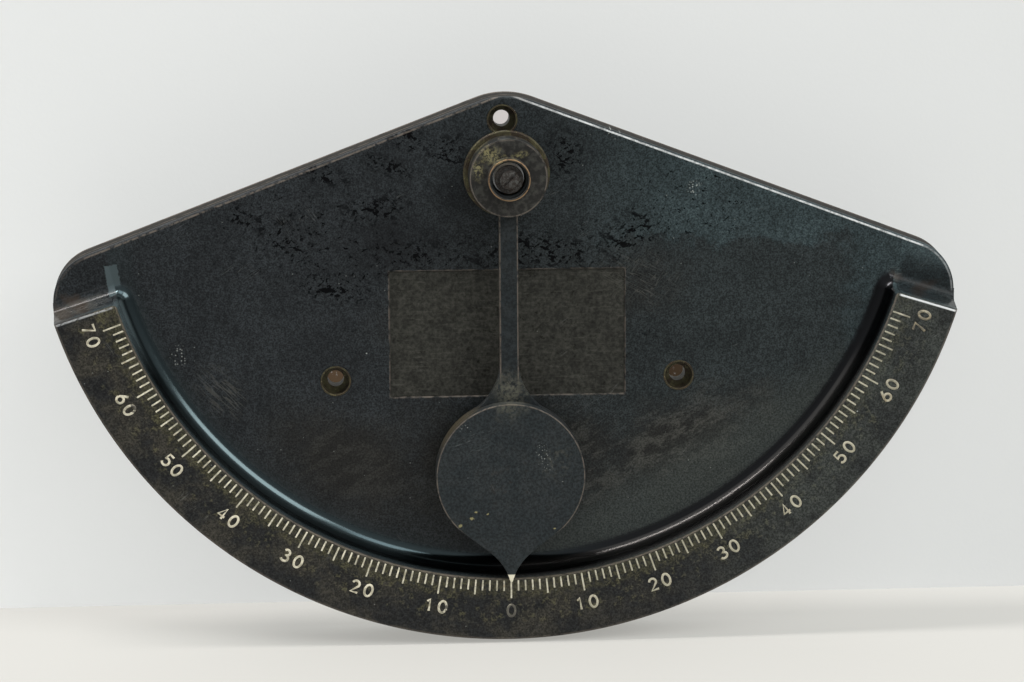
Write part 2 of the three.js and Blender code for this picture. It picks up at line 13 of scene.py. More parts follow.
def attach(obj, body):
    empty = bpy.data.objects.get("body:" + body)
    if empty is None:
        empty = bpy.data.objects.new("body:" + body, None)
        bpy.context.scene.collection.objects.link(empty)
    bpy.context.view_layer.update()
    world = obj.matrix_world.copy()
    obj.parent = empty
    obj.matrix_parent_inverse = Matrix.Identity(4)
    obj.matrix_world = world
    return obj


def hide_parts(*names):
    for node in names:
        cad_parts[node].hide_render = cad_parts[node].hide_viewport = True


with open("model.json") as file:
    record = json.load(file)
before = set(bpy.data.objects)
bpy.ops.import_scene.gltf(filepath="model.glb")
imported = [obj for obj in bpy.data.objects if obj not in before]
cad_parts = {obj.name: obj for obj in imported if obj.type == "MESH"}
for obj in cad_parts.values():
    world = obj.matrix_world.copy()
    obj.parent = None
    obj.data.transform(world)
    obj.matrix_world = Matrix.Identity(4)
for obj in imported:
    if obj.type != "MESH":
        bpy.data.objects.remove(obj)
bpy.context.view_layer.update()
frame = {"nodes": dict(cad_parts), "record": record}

bl_info = {
    "name": "Bulkhead clinometer",
    "version": (1, 0, 0),
    "blender": (4, 5, 0),
    "location": "View3D > Sidebar > Clinometer",
    "description": "Models and finishes a bulkhead clinometer round its packed frame",
    "category": "Add Mesh",
}

MM = 0.001
FULL_TURN = 2 * math.pi
QUARTER = math.pi / 2
OVERREACH = 3 * MM  # how far a cutter goes past what it cuts
CLEARANCE = 0.1 * MM  # round a screw in its hole
EDGE_BREAK = 0.12 * MM  # chamfer of the small turned pieces


# Settings that a user would change.

def length(name, description, millimetres):
    """A length setting, given in millimetres and kept in metres."""
    return bpy.props.FloatProperty(
        name=name, description=description, default=millimetres * MM, min=0, precision=5, unit="LENGTH")


def watts(name, description, value):
    return bpy.props.FloatProperty(name=name, description=description, default=value, min=0, unit="POWER")


def degrees(name, description, value):
    return bpy.props.FloatProperty(
        name=name, description=description, default=math.radians(value), subtype="ANGLE")


def share(name, description, value):
    return bpy.props.FloatProperty(
        name=name, description=description, default=value, min=0, max=1, subtype="FACTOR")


def colour(name, description, red, green, blue):
    return bpy.props.FloatVectorProperty(
        name=name, description=description, default=(red, green, blue), size=3, min=0, max=1,
        subtype="COLOR")


class ClinometerCaseSizes(bpy.types.PropertyGroup):
    """Sizes of the moulded case."""
    scale_radius: length("Scale radius", "Pivot to the outer edge of the scale", 160)
    scale_inner: length("Scale inner radius", "Pivot to the inner edge of the scale", 138.3)
    scale_height: length("Scale height", "Scale surface above the back", 25.4)
    face_height: length("Face height", "Flat face above the back", 12.7)
    apex_rise: length("Apex rise", "Pivot to where the sloping edges would meet", 28.4)
    top_slope: degrees("Top slope", "Slope of the two top edges", 20.7)
    shoulder_fillet: length("Shoulder fillet", "Round corner between arc and top edge", 18)
    apex_fillet: length("Apex fillet", "Round corner at the top", 27.6)
    draft: degrees("Draft", "Lean of the moulded walls", 2)
    edge_round: length("Edge rounding", "Radius along the moulded edges", 0.9)
    cove_radius: length("Cove radius", "Hollow fillet at the foot of the scale's wall", 6.35)
    wall_lean: length("Wall lean", "How far the wall above the cove leans back", 0.6)
    end_draft: degrees("End wall draft", "Lean of the walls above the scale's ends", 10)
    end_fillet: length("End fillet", "Hollow fillet at the foot of an end wall", 4)
    wall: length("Wall", "Thickness of the outer wall", 4.5)
    face_thickness: length("Face thickness", "Thickness of the face", 4.4)
    rib: length("Rib thickness", "Thickness of the ribs in the back", 3)
    rib_setback: length("Rib setback", "How far the ribs stop short of the back", 1)
    pivot_boss: length("Pivot boss radius", "Solid boss behind the pivot", 11)
    screw_boss: length("Screw boss radius", "Solid bosses round the screw holes", 8.6)
    panel_width: length("Panel width", "Width of the bare sunk panel", 80.8)
    panel_height: length("Panel height", "Height of the bare sunk panel", 44)
    panel_drop: length("Panel drop", "Pivot to the panel's centre", 55)
    panel_depth: length("Panel depth", "Depth of the sunk panel", 0.6)
    hole: length("Bush hole radius", "Radius of the holes that take the bushes", 5.3)
    insert_hole: length("Insert hole radius", "Radius of the blind hole behind the pivot", 6.45)
    insert_floor: length("Insert hole floor", "Floor of that hole above the back", 2.4)


class ClinometerScaleSizes(bpy.types.PropertyGroup):
    """Sizes of the filled marks and numbers."""
    tick_inner: length("Tick start", "Pivot to the inner end of each mark", 138.9)
    tick_width: length("Tick width", "Width of a mark", 0.72)
    tick_short: length("Degree mark", "Length of a mark for one degree", 3.9)
    tick_middle: length("Five degree mark", "Length of a mark for five degrees", 5.4)
    tick_long: length("Ten degree mark", "Length of a mark for ten degrees", 6.5)
    number_radius: length("Number radius", "Pivot to the middle of the numbers", 149.7)
    number_height: length("Number height", "Height of the numbers", 4.1)
    number_gap: length("Number spacing", "Centre to centre of two digits", 4.7)
    stroke: length("Stroke", "Width of a number's strokes", 0.82)
    fill_proud: length("Fill height", "How far the paint stands over the scale", 0.05)
    half_range: bpy.props.IntProperty(name="Range", description="Degrees each side of zero", default=70)


class ClinometerPivotSizes(bpy.types.PropertyGroup):
    """Sizes of the bushes, hub and pivot screw."""
    screw_spacing: length("Screw spacing", "Left to right screw hole", 117.8)
    screw_drop: length("Screw drop", "Pivot down to the two lower screw holes", 70.8)
    top_rise: length("Top screw rise", "Pivot up to the top screw hole", 18.2)
    top_offset: length("Top screw offset", "How far the top screw hole lies to the left", 1.3)
    bush_bore: length("Bush bore radius", "Clears the bulkhead screw", 2.78)
    bush_seat: length("Bush seat radius", "Counterbore for the screw's head", 4.7)
    bush_depth: length("Bush seat depth", "Depth of the counterbore", 5.2)
    bush_radius: length("Bush radius", "Outside of the bush", 5.2)
    bush_setback: length("Bush setback", "How far the bush stops short of the back", 0.6)
    backplate_radius: length("Backplate radius", "Round plate under the hub", 14.7)
    backplate_thickness: length("Backplate thickness", "Thickness of that plate", 1.6)
    backplate_bore: length("Backplate bore radius", "Clears the stud", 3.2)
    hub_radius: length("Hub radius", "Outside of the hub", 13.2)
    hub_gap: length("Hub gap", "Backplate to the turning hub", 1)
    hub_bore: length("Hub floor bore radius", "Hole in the hub's floor", 7.2)
    neck_radius: length("Neck radius", "Neck that carries the arm's eye", 11.3)
    bearing_seat: length("Bearing seat radius", "Bore that holds the bearing", 9.575)
    bearing_back: length("Bearing back", "Back of the bearing above the case's back", 18.5)
    bearing_front: length("Bearing front", "Front of the bearing above the case's back", 24.06)
    cap_disc: length("Cap disc", "Thickness of the cap's disc", 3.3)
    cap_bore: length("Cap bore radius", "Hole in the cap's floor", 5.6)
    collar_radius: length("Collar radius", "Outside of the cap's collar", 7.1)
    collar_wall: length("Collar wall", "Wall of the collar", 0.8)
    collar_height: length("Collar height", "Height of the collar", 4.8)
    collar_pocket: length("Collar pocket", "Depth inside the collar", 3.2)
    washer_radius: length("Washer radius", "Retaining washer", 4.8)
    washer_back: length("Washer back", "Back of the washer above the case's back", 28.06)
    washer_thickness: length("Washer thickness", "Thickness of the washer", 0.9)
    shank_radius: length("Shank radius", "Shank of the pivot screw", 1.5)
    shank_back: length("Shank end", "End of the pivot screw above the case's back", 22.41)
    head_radius: length("Head radius", "Head of the pivot screw", 3.3)
    head_height: length("Head height", "Height of that head", 1.9)
    slot_width: length("Slot width", "Width of the screwdriver slot", 0.9)
    slot_depth: length("Slot depth", "Depth of the screwdriver slot", 0.9)
    slot_turn: degrees("Slot turn", "How the slot stands", 45)
    seat_gap: length("Seat gap", "Between faces that seat on each other", 0.05)


class ClinometerPendulumSizes(bpy.types.PropertyGroup):
    """Sizes of the arm and bob."""
    arm_width: length("Arm width", "Width of the flat bar", 6.35)
    arm_thickness: length("Arm thickness", "Thickness of the flat bar", 3.2)
    arm_back: length("Arm back", "Back of the arm above the case's back", 19.75)
    bob_radius: length("Bob radius", "Radius of the bob", 25.4)
    bob_drop: length("Bob drop", "Pivot to the bob's centre", 102.2)
    flare: length("Flare", "Fillet where the arm meets the bob", 20)
    front_thickness: length("Front plate", "Thickness of the bob's front plate", 4.75)
    back_thickness: length("Back plate", "Thickness of the bob's back plate", 1.5)
    reach: length("Pointer reach", "Pivot to the pointer's tip", 139)
    pointer_thickness: length("Pointer thickness", "Thickness of the pointer's tip", 1.7)
    bevel_start: length("Pointer bevel start", "Where the pointer starts to thin", 121.5)
    bevel_end: length("Pointer bevel end", "Where the thinning ends", 133)
    pointer_root: degrees("Pointer root", "Where the pointer leaves the disc, from straight down", 45)
    screw_circle: length("Bob screw circle", "Radius of the circle of bob screws", 14)
    screw_radius: length("Bob screw radius", "Shank of a bob screw", 1.45)
    screw_head: length("Bob screw head radius", "Countersunk head", 2.7)
    screw_head_height: length("Bob screw head height", "Height of that head", 1.3)
    screw_reach: length("Bob screw reach", "How far a screw enters the front plate", 3)
    edge_round: length("Worn edge", "Rounding of the pendulum's edges", 0.28)
    eye_bore: length("Eye bore radius", "Hole in the arm's eye", 11.4)


class ClinometerStudio(bpy.types.PropertyGroup):
    """The plain room round the instrument."""
    wall_distance: length("Wall distance", "Back of the case to the wall", 34)
    floor_drop: length("Floor drop", "Pivot down to the floor", 161.1)
    room_width: length("Room width", "Width of floor and wall", 4200)
    wall_colour: colour("Wall", "Colour of the painted wall", 0.77, 0.78, 0.775)
    floor_colour: colour("Floor", "Colour of the painted floor", 0.67, 0.665, 0.63)
    wall_seen: colour("Wall as seen", "Even tone of the wall", 0.745, 0.760, 0.745)
    floor_seen: colour("Floor as seen", "Even tone of the floor", 0.605, 0.597, 0.560)
    top_power: watts("Top light", "Soft light from above, a little right", 4)
    key_power: watts("Key light", "Soft light from the upper right", 13)
    fill_power: watts("Fill light", "Narrow light from the upper left, nearly level with the face", 17)
    sky: share("Room light", "Strength of the even light from above", 0.76)
    sky_low: share("Low room light", "Strength of the light from below", 0.16)


# Finishes, built node by node.

class ClinometerFinish(bpy.types.PropertyGroup):
    """Colours and gloss of the finishes."""
    # Painted sheen: the coat is darker on the left, and lighter and bluer on the right and upper right, where
    # the light falls.
    coat_left_shaded: colour("Coat, left", "Slate coat, duller on the left", 0.0170, 0.0198, 0.0216)
    coat_right_sheen: colour("Coat, right", "Slate coat, bluer on the right", 0.0188, 0.0236, 0.0244)
    coat_upper_sheen: colour("Coat, upper right", "Clean blue coat of the upper right", 0.0275, 0.0395, 0.0422)
    # Also the black of the painted shade over the right end's cove and of the painted shadow left of the hub.
    lost_coat_and_shade: colour("Lost coat", "Black moulding where the coat has flaked away", 0.0030, 0.0030, 0.0036)
    coat_grey: colour("Greyed coat", "Coat handled to a dull brown grey", 0.0480, 0.0480, 0.0420)
    panel_grey: colour("Panel grey", "Olive grey of the bare panel", 0.0300, 0.0300, 0.0250)
    coat_smear: colour("Smeared coat", "Black brown ground under the greyed coat", 0.0125, 0.0122, 0.0110)
    side_brass: colour("Side of the bob", "Dull olive brass of the bob's side", 0.105, 0.086, 0.052)
    cove_left: colour("Cove, left", "Blue-grey shine of the cove under the scale", 0.036, 0.049, 0.052)
    cove_right: colour("Cove, right", "Blue-black shine of the cove", 0.0165, 0.0170, 0.0180)
    cove_edge: colour("Cove, bright edge", "Shine along the steep side of the cove", 0.062, 0.060, 0.058)
    wall_black: colour("Outer wall", "Dark sides of the moulding", 0.0120, 0.0112, 0.0100)
    # Used for real rubs and scrapes, and also for the painted reflection along the left cove and the painted
    # sheen on the right shoulder.
    rubbed_grey_and_sheen: colour("Rubbed place", "Rubbed slate grey places of the case", 0.062, 0.083, 0.088)
    # Painted highlight colour of the pale edge lines and of the streak at the left end wall.
    highlight_white: colour("Bright edge", "Edges worn to a pale line", 0.60, 0.62, 0.62)
    edge_brown: colour("Brown edge", "Edges worn to brown grey", 0.17, 0.145, 0.12)
    case_brown: colour("Brown stain", "Brown stains of the case", 0.042, 0.031, 0.023)
    scale_black: colour("Scale black", "Matte surface of the scale", 0.0125, 0.0132, 0.0135)
    scale_brown: colour("Scale brown", "Lighter brown places of the scale", 0.0300, 0.0280, 0.0225)
    scale_pale: colour("Pale scale", "Greenish grey of the scale on the right", 0.038, 0.044, 0.0405)
    paint: colour("Scale paint", "Fill of marks and numbers", 0.64, 0.60, 0.47)
    paint_dull: colour("Dull paint", "Fill where it is dirty", 0.27, 0.255, 0.185)
    paint_stain: colour("Paint stain", "Ochre stains in and round the fill", 0.23, 0.145, 0.050)
    dust: colour("Dust", "Pale specks of dust and chips", 0.36, 0.38, 0.36)
    brass_olive: colour("Tarnished brass", "Olive tarnish", 0.062, 0.058, 0.029)
    brass_brown: colour("Brown brass", "Brown tarnish", 0.032, 0.023, 0.015)
    brass_ochre: colour("Rubbed brass", "Brass rubbed through at the edges", 0.33, 0.215, 0.120)
    brass_pale: colour("Pale brass", "Yellowish crust on old brass", 0.30, 0.27, 0.13)
    brass_bright: colour("Turned brass", "Clean turned brass of inner pieces", 0.62, 0.44, 0.19)
    hub_dark: colour("Hub dark", "Dark brown grey of the hub", 0.0165, 0.0160, 0.0148)
    hub_mottle: colour("Hub mottle", "Grey clouds on the hub", 0.046, 0.046, 0.040)
    slate: colour("Slate lacquer", "Blue-black lacquer of the pendulum", 0.0150, 0.0190, 0.0205)
    slate_light: colour("Light lacquer", "The same lacquer where it is dusty", 0.0250, 0.0280, 0.0285)
    slate_worn: colour("Worn lacquer", "Greenish grey where the lacquer thins", 0.098, 0.096, 0.074)
    steel_dark: colour("Dark steel", "Browned steel of screws and washer", 0.026, 0.021, 0.018)
    steel_mottle: colour("Steel mottle", "Grey bloom on the dark steel", 0.066, 0.066, 0.062)
    steel: colour("Bearing steel", "Ground steel of rings and balls", 0.56, 0.57, 0.58)
    # Painted shade on the wall behind the screw holes: brown shadow behind the lower holes, a darker pinkish
    # grey behind the top hole.
    hole_shade_pink: colour("Behind the top hole", "Pinkish shade of the wall there", 0.69, 0.65, 0.63)
    hole_shadow_brown: colour("Behind the lower holes", "Brown shade of the wall there", 0.115, 0.075, 0.045)


def tinted(colour, factor):
    """A plain colour, lighter or darker."""
    return [factor * part for part in colour]


class Finish:
    """One node material. Places are in millimetres: x right, height out of the back, z up."""

    def __init__(self, name):
        self.material = bpy.data.materials.new(name)
        self.material.use_nodes = True
        self.tree = self.material.node_tree
        self.shader = self.tree.nodes["Principled BSDF"]
        place = self.add("ShaderNodeTexCoord").outputs["Object"]
        scaled = self.add("ShaderNodeVectorMath", {"operation": "SCALE"}, Vector=place, Scale=1 / MM)
        self.place = scaled.outputs["Vector"]
        parts = self.add("ShaderNodeSeparateXYZ", Vector=self.place).outputs
        self.x, self.z = parts["X"], parts["Z"]
        self.height = self.math("MULTIPLY", parts["Y"], -1)

    def add(self, kind, settings=None, **inputs):
        """One node, with its settings and what goes into it."""
        node = self.tree.nodes.new(kind)
        for key, value in (settings or {}).items():
            setattr(node, key, value)
        for key, value in inputs.items():
            self.feed(node.inputs[key.replace("_", " ")], value)
        return node

    def feed(self, socket, value):
        """Links a socket to an output, or sets its value."""
        if isinstance(value, bpy.types.NodeSocket):
            self.tree.links.new(value, socket)
        elif socket.type == "RGBA":
            socket.default_value = (*value[:3], 1)
        else:
            socket.default_value = value

    def math(self, operation, *values):
        node = self.add("ShaderNodeMath", {"operation": operation})
        for socket, value in zip(node.inputs, values):
            self.feed(socket, value)
        return node.outputs[0]

    def linear(self, value, factor, shift):
        """The value times a factor, plus a shift."""
        return self.math("MULTIPLY_ADD", value, factor, shift)

    def span(self, value, low, high, start=0.0, end=1.0):
        """Eases from start to end as the value goes from low to high."""
        node = self.add("ShaderNodeMapRange", {"interpolation_type": "SMOOTHSTEP"}, Value=value,
                        From_Min=low, From_Max=high, To_Min=start, To_Max=end)
        return node.outputs["Result"]

    def near(self, value, middle, inner, outer):
        """1 where the value is within inner of the middle, easing to 0 at outer."""
        return self.span(self.math("ABSOLUTE", self.math("SUBTRACT", value, middle)), outer, inner)

    def outside(self, mask):
        """1 where the mask is 0, and 0 where it is 1."""
        return self.math("SUBTRACT", 1, mask)

    def both(self, *masks):
        """Where all of the masks are, as their product."""
        result = masks[0]
        for mask in masks[1:]:
            result = self.math("MULTIPLY", result, mask)
        return result

    def either(self, *masks):
        """Where any of the masks is, as the largest of them."""
        result = masks[0]
        for mask in masks[1:]:
            result = self.math("MAXIMUM", result, mask)
        return result

    def blend(self, factor, first, second):
        """From one colour to another."""
        node = self.add("ShaderNodeMix", {"data_type": "RGBA"})
        for index, value in ((0, factor), (6, first), (7, second)):
            self.feed(node.inputs[index], value)
        return node.outputs[2]

    def cover(self, base, mask, amount, colour):
        """The base with that share of a colour over it, where the mask is."""
        return self.blend(self.both(mask, amount), base, colour)

    def lerp(self, factor, first, second):
        """From one number to another."""
        node = self.add("ShaderNodeMix", {"data_type": "FLOAT"})
        for index, value in ((0, factor), (2, first), (3, second)):
            self.feed(node.inputs[index], value)
        return node.outputs[0]

    def shade(self, colour, factor):
        """The same colour, lighter or darker."""
        node = self.add("ShaderNodeVectorMath", {"operation": "SCALE"}, Scale=factor)
        self.feed(node.inputs[0], colour)
        return node.outputs["Vector"]

    def along(self, turn=0.0, wide=1.0, high=1.0, x=0.0, z=0.0, deep=1.0):
        """The place about a point, turned, and measured in units of wide and high."""
        node = self.add("ShaderNodeMapping", {"vector_type": "TEXTURE"}, Vector=self.place,
                        Location=(x, 0, z), Rotation=(0, math.radians(turn), 0), Scale=(wide, deep, high))
        return node.outputs["Vector"]

    def noise(self, size, detail=3.0, where=None, rough=0.5):
        """Cloudy noise whose lumps are about size millimetres wide."""
        node = self.add("ShaderNodeTexNoise", Vector=where or self.place, Scale=1 / size, Detail=detail,
                        Roughness=rough)
        return node.outputs[0]

    def clouds(self, size, detail, low, high, rough=0.5):
        """The same noise with more contrast, 0 up to low and 1 from high on."""
        return self.span(self.noise(size, detail, rough=rough), low, high)

    def patch(self, x, z, wide, high, turn=0.0, soft=0.5, ragged=0.5, grain=2.5):
        """An oval with ragged edges, 1 inside and 0 outside."""
        away = self.add("ShaderNodeVectorMath", {"operation": "LENGTH"},
                        Vector=self.along(turn, wide, high, x, z, 1000.0)).outputs["Value"]
        rag = self.linear(self.noise(grain, 4), 2 * ragged, -ragged)
        return self.span(self.math("ADD", away, rag), 1.0, 1.0 - soft)

    def oblong(self, x, z, wide, high, turn, ragged, grain):
        """A straight-sided place with slightly ragged edges."""
        sides = self.add("ShaderNodeSeparateXYZ", Vector=self.along(turn, 1, 1, x, z)).outputs
        rag = self.linear(self.noise(grain, 4, rough=0.65), 4 * ragged, -2 * ragged)
        soft = 0.15
        masks = []
        for side, limit in ((sides["X"], wide), (sides["Z"], high)):
            away = self.math("ADD", self.math("ABSOLUTE", side), rag)
            masks.append(self.span(away, limit + soft, limit - soft))
        return self.both(*masks)

    def patches(self, rows, **settings):
        """Several ragged ovals as one mask."""
        return self.either(*[self.patch(*row, **settings) for row in rows])

    def specks(self, cell, size, chance, flat=False):
        """Small round dots, one in some of the cells; flat ones fill a face that looks forwards."""
        where = self.add("ShaderNodeCombineXYZ", X=self.x, Y=self.z).outputs[0] if flat else self.place
        node = self.add("ShaderNodeTexVoronoi", {"voronoi_dimensions": "2D" if flat else "3D"},
                        Vector=where, Scale=1 / cell)
        near = self.span(node.outputs["Distance"], size / cell, 0.55 * size / cell)
        lot = self.add("ShaderNodeSeparateColor", Color=node.outputs["Color"]).outputs[0]
        return self.both(near, self.math("GREATER_THAN", lot, 1 - chance))

    def scratches(self, turn, long, wide, fine=0.012, chance=0.55, seed=0.0):
        """Fine lines at one slope, broken into lengths."""
        where = self.along(turn, wide, long, seed, seed)
        line = self.noise(1.0, 1, where, 0.4)
        drawn = self.near(line, 0.5, 0.2 * fine, fine)
        broken = self.span(self.noise(14, 3, self.along(turn, 1, 2, -seed, seed)), chance, chance + 0.04)
        return self.both(drawn, broken)

    def edges(self, radius, low=0.02, high=0.25):
        """1 along the edges of the piece."""
        bevel = self.add("ShaderNodeBevel", {"samples": 6}, Radius=radius)
        true = self.add("ShaderNodeNewGeometry").outputs["Normal"]
        turn = self.add("ShaderNodeVectorMath", {"operation": "DOT_PRODUCT"})
        self.feed(turn.inputs[0], bevel.outputs["Normal"])
        self.feed(turn.inputs[1], true)
        return self.span(self.outside(turn.outputs["Value"]), low, high)

    def rings(self, size, radius):
        """Fine rings round the pivot's line, as a lathe leaves them."""
        return self.noise(size, 2, self.add("ShaderNodeCombineXYZ", X=radius, Y=self.height).outputs[0])

    def away(self, x=0.0, z=0.0):
        """Distance from a point of the front view."""
        sides = (self.math("SUBTRACT", self.x, x), self.math("SUBTRACT", self.z, z))
        return self.math("SQRT", self.math("ADD", *[self.math("POWER", side, 2) for side in sides]))

    def finished(self, colour, rough, bump, depth=0.02, metallic=0.0, specular=0.5):
        """Feeds the shader, with the bump's depth in millimetres."""
        self.shader.inputs["Specular IOR Level"].default_value = specular
        self.feed(self.shader.inputs["Base Color"], colour)
        self.feed(self.shader.inputs["Roughness"], rough)
        self.feed(self.shader.inputs["Metallic"], metallic)
        node = self.add("ShaderNodeBump", Height=bump, Distance=depth * MM, Strength=1.0)
        self.feed(self.shader.inputs["Normal"], node.outputs["Normal"])
        return self.material


# Places on the finishes: x and z of the middle, half width, half height and the turn in degrees.
GREY_SMEARS = ((60, -96, 46, 24, -22), (-52, -100, 48, 24, 22), (0, -102, 66, 32, 0))
DULL_PLACES = ((46, -39, 24, 17, -20), (-30, -52, 26, 14, 0))
# Painted shadow to the left of the hub and the upper arm.
HUB_SHADOW_PLACES = ((-38, -24, 26, 18, 10), (-16, -8, 16, 12, 0))
THICK_FLAKES = (
    (-75, -22, 17, 11, 30), (-90, -14, 12, 6, 22), (-40, 3, 13, 5, 20), (-44, -12, 18, 8, -10),
    (-34, -28, 19, 10, 0), (-34, 12, 12, 6, 20), (-62, 1, 14, 6, 22), (42, -22, 20, 12, -35),
    (-20, 8, 12, 8, 0), (10, -27, 40, 11, 0), (20, 6, 10, 14, 0), (-60, -38, 22, 8, 10),
)
THIN_FLAKES = ((-60, -24, 66, 28, 20), (60, -12, 50, 24, -20), (0, -50, 66, 44, 0))
BROWN_STAINS = (
    (133.5, -37.4, 3.4, 2.2, 20), (-146, -42, 8, 3.4, 17), (-150, -46, 9, 4, 17), (143, -41, 8, 2.6, -17),
)
CASE_DUST = ((-112, -61, 4, 5), (36.5, 16, 4, 6), (64, -6, 3, 4))
PAINT_STAINS = ((104, -107, 7, 6), (129, -80, 7, 6), (142, -54, 9, 9))
FADED_PAINT = ((134, -62, 16, 24, 15), (62, -130, 24, 10, 25))
WORN_DIGITS = ((-22.4, -148.6, 2.0, 2.2), (-127.0, -76.5, 2.2, 2.0), (57.2, -140.6, 2.2, 2.0))
HUB_CRUST = ((-5.5, 7.6, 9.0, 4.2, 30), (-10.2, 2.6, 2.6, 4.5, -10), (3.5, 7.8, 4.5, 1.6, -20))
BOB_CRUMBS = (
    (-17.4, -118.8, 1.0, 0.7), (-13.4, -116.4, 0.9, 0.6), (-12.0, -114.2, 0.6, 0.4),
    (-8.0, -115.0, 0.5, 0.5), (14.8, -120.4, 0.6, 0.3),
)
BOB_DUST = ((11.5, -95.5, 3.0, 7.0, -20), (-15, -85, 3, 2, 0))


def up_to_face(f):
    """1 up to the flat face of the case, and 0 above it."""
    return f.span(f.height, 13.6, 13.0)


def slate_coat(f, finishes, cloud, grain):
    """The mottled coat, darker on the left and lighter and bluer towards the upper right as a painted sheen
    over a cleaner coat with a ragged edge there, and smeared grey where it was handled.

    Gives its colour, its fine grain and the places that are smeared.
    """
    # Painted sheen: darker coat on the left, lighter and bluer on the right and over the ragged upper right
    # place.
    coat = f.blend(f.span(f.x, -70, 75), finishes.coat_left_shaded, finishes.coat_right_sheen)
    ragged = f.linear(f.noise(7, 7, rough=0.66), 26, -13)
    upper = f.either(f.both(f.span(f.math("ADD", f.z, ragged), -26, -21.5), f.span(f.x, 16, 66)),
                     f.span(f.math("ADD", f.x, ragged), 112, 124))
    coat = f.blend(upper, coat, finishes.coat_upper_sheen)
    base = f.blend(f.both(f.span(cloud, 0.40, 0.62), 0.45), coat, f.shade(coat, 0.45))
    fine = f.span(f.noise(0.6, 4, rough=0.7), 0.36, 0.64, 0.62, 1.52)
    base = f.shade(f.shade(base, f.span(grain, 0.36, 0.64, 0.74, 1.30)), fine)
    streaks = f.span(f.noise(2.8, 8, f.along(-26, 2.7, 1.0), 0.72), 0.46, 0.58)
    streaks = f.both(streaks, f.span(f.x, -20, 20, 0.25, 0.75))
    smear = f.shade(f.blend(streaks, finishes.coat_smear, finishes.coat_grey), fine)
    grey = f.patches(GREY_SMEARS, soft=0.8, ragged=0.4, grain=14)
    base = f.blend(f.both(grey, 0.92), base, smear)
    dull = f.patches(DULL_PLACES, soft=1.0, ragged=0.5, grain=9)
    base = f.blend(f.both(dull, 0.60), base, f.shade(finishes.coat_smear, fine))
    # Painted shadow: darker places on the coat to the left of the hub and arm.
    hub_shadow = f.patches(HUB_SHADOW_PLACES, soft=1.0, ragged=0.6, grain=9)
    return f.cover(base, hub_shadow, 0.42, finishes.lost_coat_and_shade), fine, grey


def flaked(f, finishes, base, grey):
    """The coat gone in small ragged islands, in clusters. Gives the colour and the lost places."""
    flake = f.math("MAXIMUM", f.noise(3.2, 6, f.along(24, 1.5, 0.8), 0.62),
                   f.noise(1.8, 5, f.along(-35, 1.3, 0.8), 0.60))
    thick = f.patches(THICK_FLAKES, soft=0.8, ragged=0.5, grain=6)
    few = f.patches(THIN_FLAKES, soft=0.8, ragged=0.6, grain=14)
    lost = f.either(f.both(thick, f.span(flake, 0.558, 0.574)), f.both(few, f.span(flake, 0.618, 0.632)))
    lost = f.both(lost, f.span(f.height, 11.0, 11.8), up_to_face(f), f.outside(f.both(grey, 0.7)))
    return f.cover(base, lost, 0.97, finishes.lost_coat_and_shade), lost


def sunk_panel(f, finishes, sizes, base, rough, grain):
    """The bare sunk panel, with a pale line round its border."""
    inside = f.math("MAXIMUM", f.math("SUBTRACT", f.math("ABSOLUTE", f.x), sizes.panel_width / 2 / MM),
                    f.math("SUBTRACT", f.math("ABSOLUTE", f.math("ADD", f.z, sizes.panel_drop / MM)),
                           sizes.panel_height / 2 / MM))
    panel = f.both(f.span(inside, 0.2, -0.3), f.span(f.height, 12.65, 12.4))
    bare = finishes.panel_grey
    bed = f.blend(f.clouds(2.6, 6, 0.38, 0.66, rough=0.7), bare, tinted(bare, 0.5))
    scuffs = f.both(f.span(f.noise(1.0, 4, f.along(90, 0.9, 9), 0.6), 0.54, 0.66), 0.35)
    bed = f.shade(f.blend(scuffs, bed, tinted(bare, 1.9)), f.span(grain, 0.36, 0.64, 0.7, 1.35))
    base = f.blend(panel, base, bed)
    rough = f.lerp(panel, rough, 0.55)
    border = f.both(f.span(f.math("ABSOLUTE", f.math("ADD", inside, 0.05)), 0.42, 0.12),
                    f.clouds(3.2, 5, 0.40, 0.62, rough=0.7), up_to_face(f))
    return f.cover(base, border, 0.50, finishes.edge_brown), rough


def rubbed_end_and_cove_sheen(f, finishes, base, radius, off):
    """A slate grey place rubbed at the left end of the scale, a paler painted reflection along the cove's
    wall below it, and brown stains.

    Gives the colour and that painted reflection band.
    """
    rub = f.oblong(-133.5, -34.4, 2.15, 5.0, -9, ragged=0.45, grain=1.1)
    # Painted reflection: a paler slate grey band along the left cove's wall, fading down the arc.
    cove_sheen_band = f.both(f.span(radius, 135.6, 136.8), f.span(f.z, -70, -46), f.span(f.height, 14.5, 17.0),
                  f.span(f.height, 24.6, 24.2), f.span(off, 1.0, -1.0), f.span(f.x, -100, -110),
                  f.clouds(2.4, 4, 0.20, 0.40), 0.85)
    base = f.blend(f.either(rub, cove_sheen_band), base, finishes.rubbed_grey_and_sheen)
    brown = f.patches(BROWN_STAINS, soft=0.8, ragged=0.5, grain=2)
    return f.cover(base, brown, 0.70, finishes.case_brown), cove_sheen_band


def glossy_cove(f, finishes, base, cove_sheen_band, radius, fine):
    """The shine of the cove, with a paler face beside it at the right.

    Gives the colour and the shiny places.
    """
    toward = f.linear(f.x, 0.5, f.math("MULTIPLY", f.z, -0.866))
    base = f.blend(f.both(f.span(toward, 106, 124), 0.66), base, f.shade(finishes.scale_pale, fine))
    deep = f.both(f.lerp(f.span(f.x, -20, 20), f.span(radius, 128, 133), f.span(radius, 131.4, 133)),
                  f.span(radius, 138.4, 137.8), f.span(f.height, 12.5, 13.2))
    bright_side = f.both(f.span(radius, 134.9, 135.4), f.span(toward, 112, 122))
    shine = f.blend(f.span(f.x, -40, 50), finishes.cove_left, finishes.cove_right)
    shine = f.cover(shine, bright_side, 0.9, finishes.cove_edge)
    # The cove's shine stops where the painted reflection band lies, and that band is painted over it.
    base = f.blend(f.both(deep, f.outside(cove_sheen_band)), base, shine)
    return f.blend(cove_sheen_band, base, finishes.rubbed_grey_and_sheen), deep


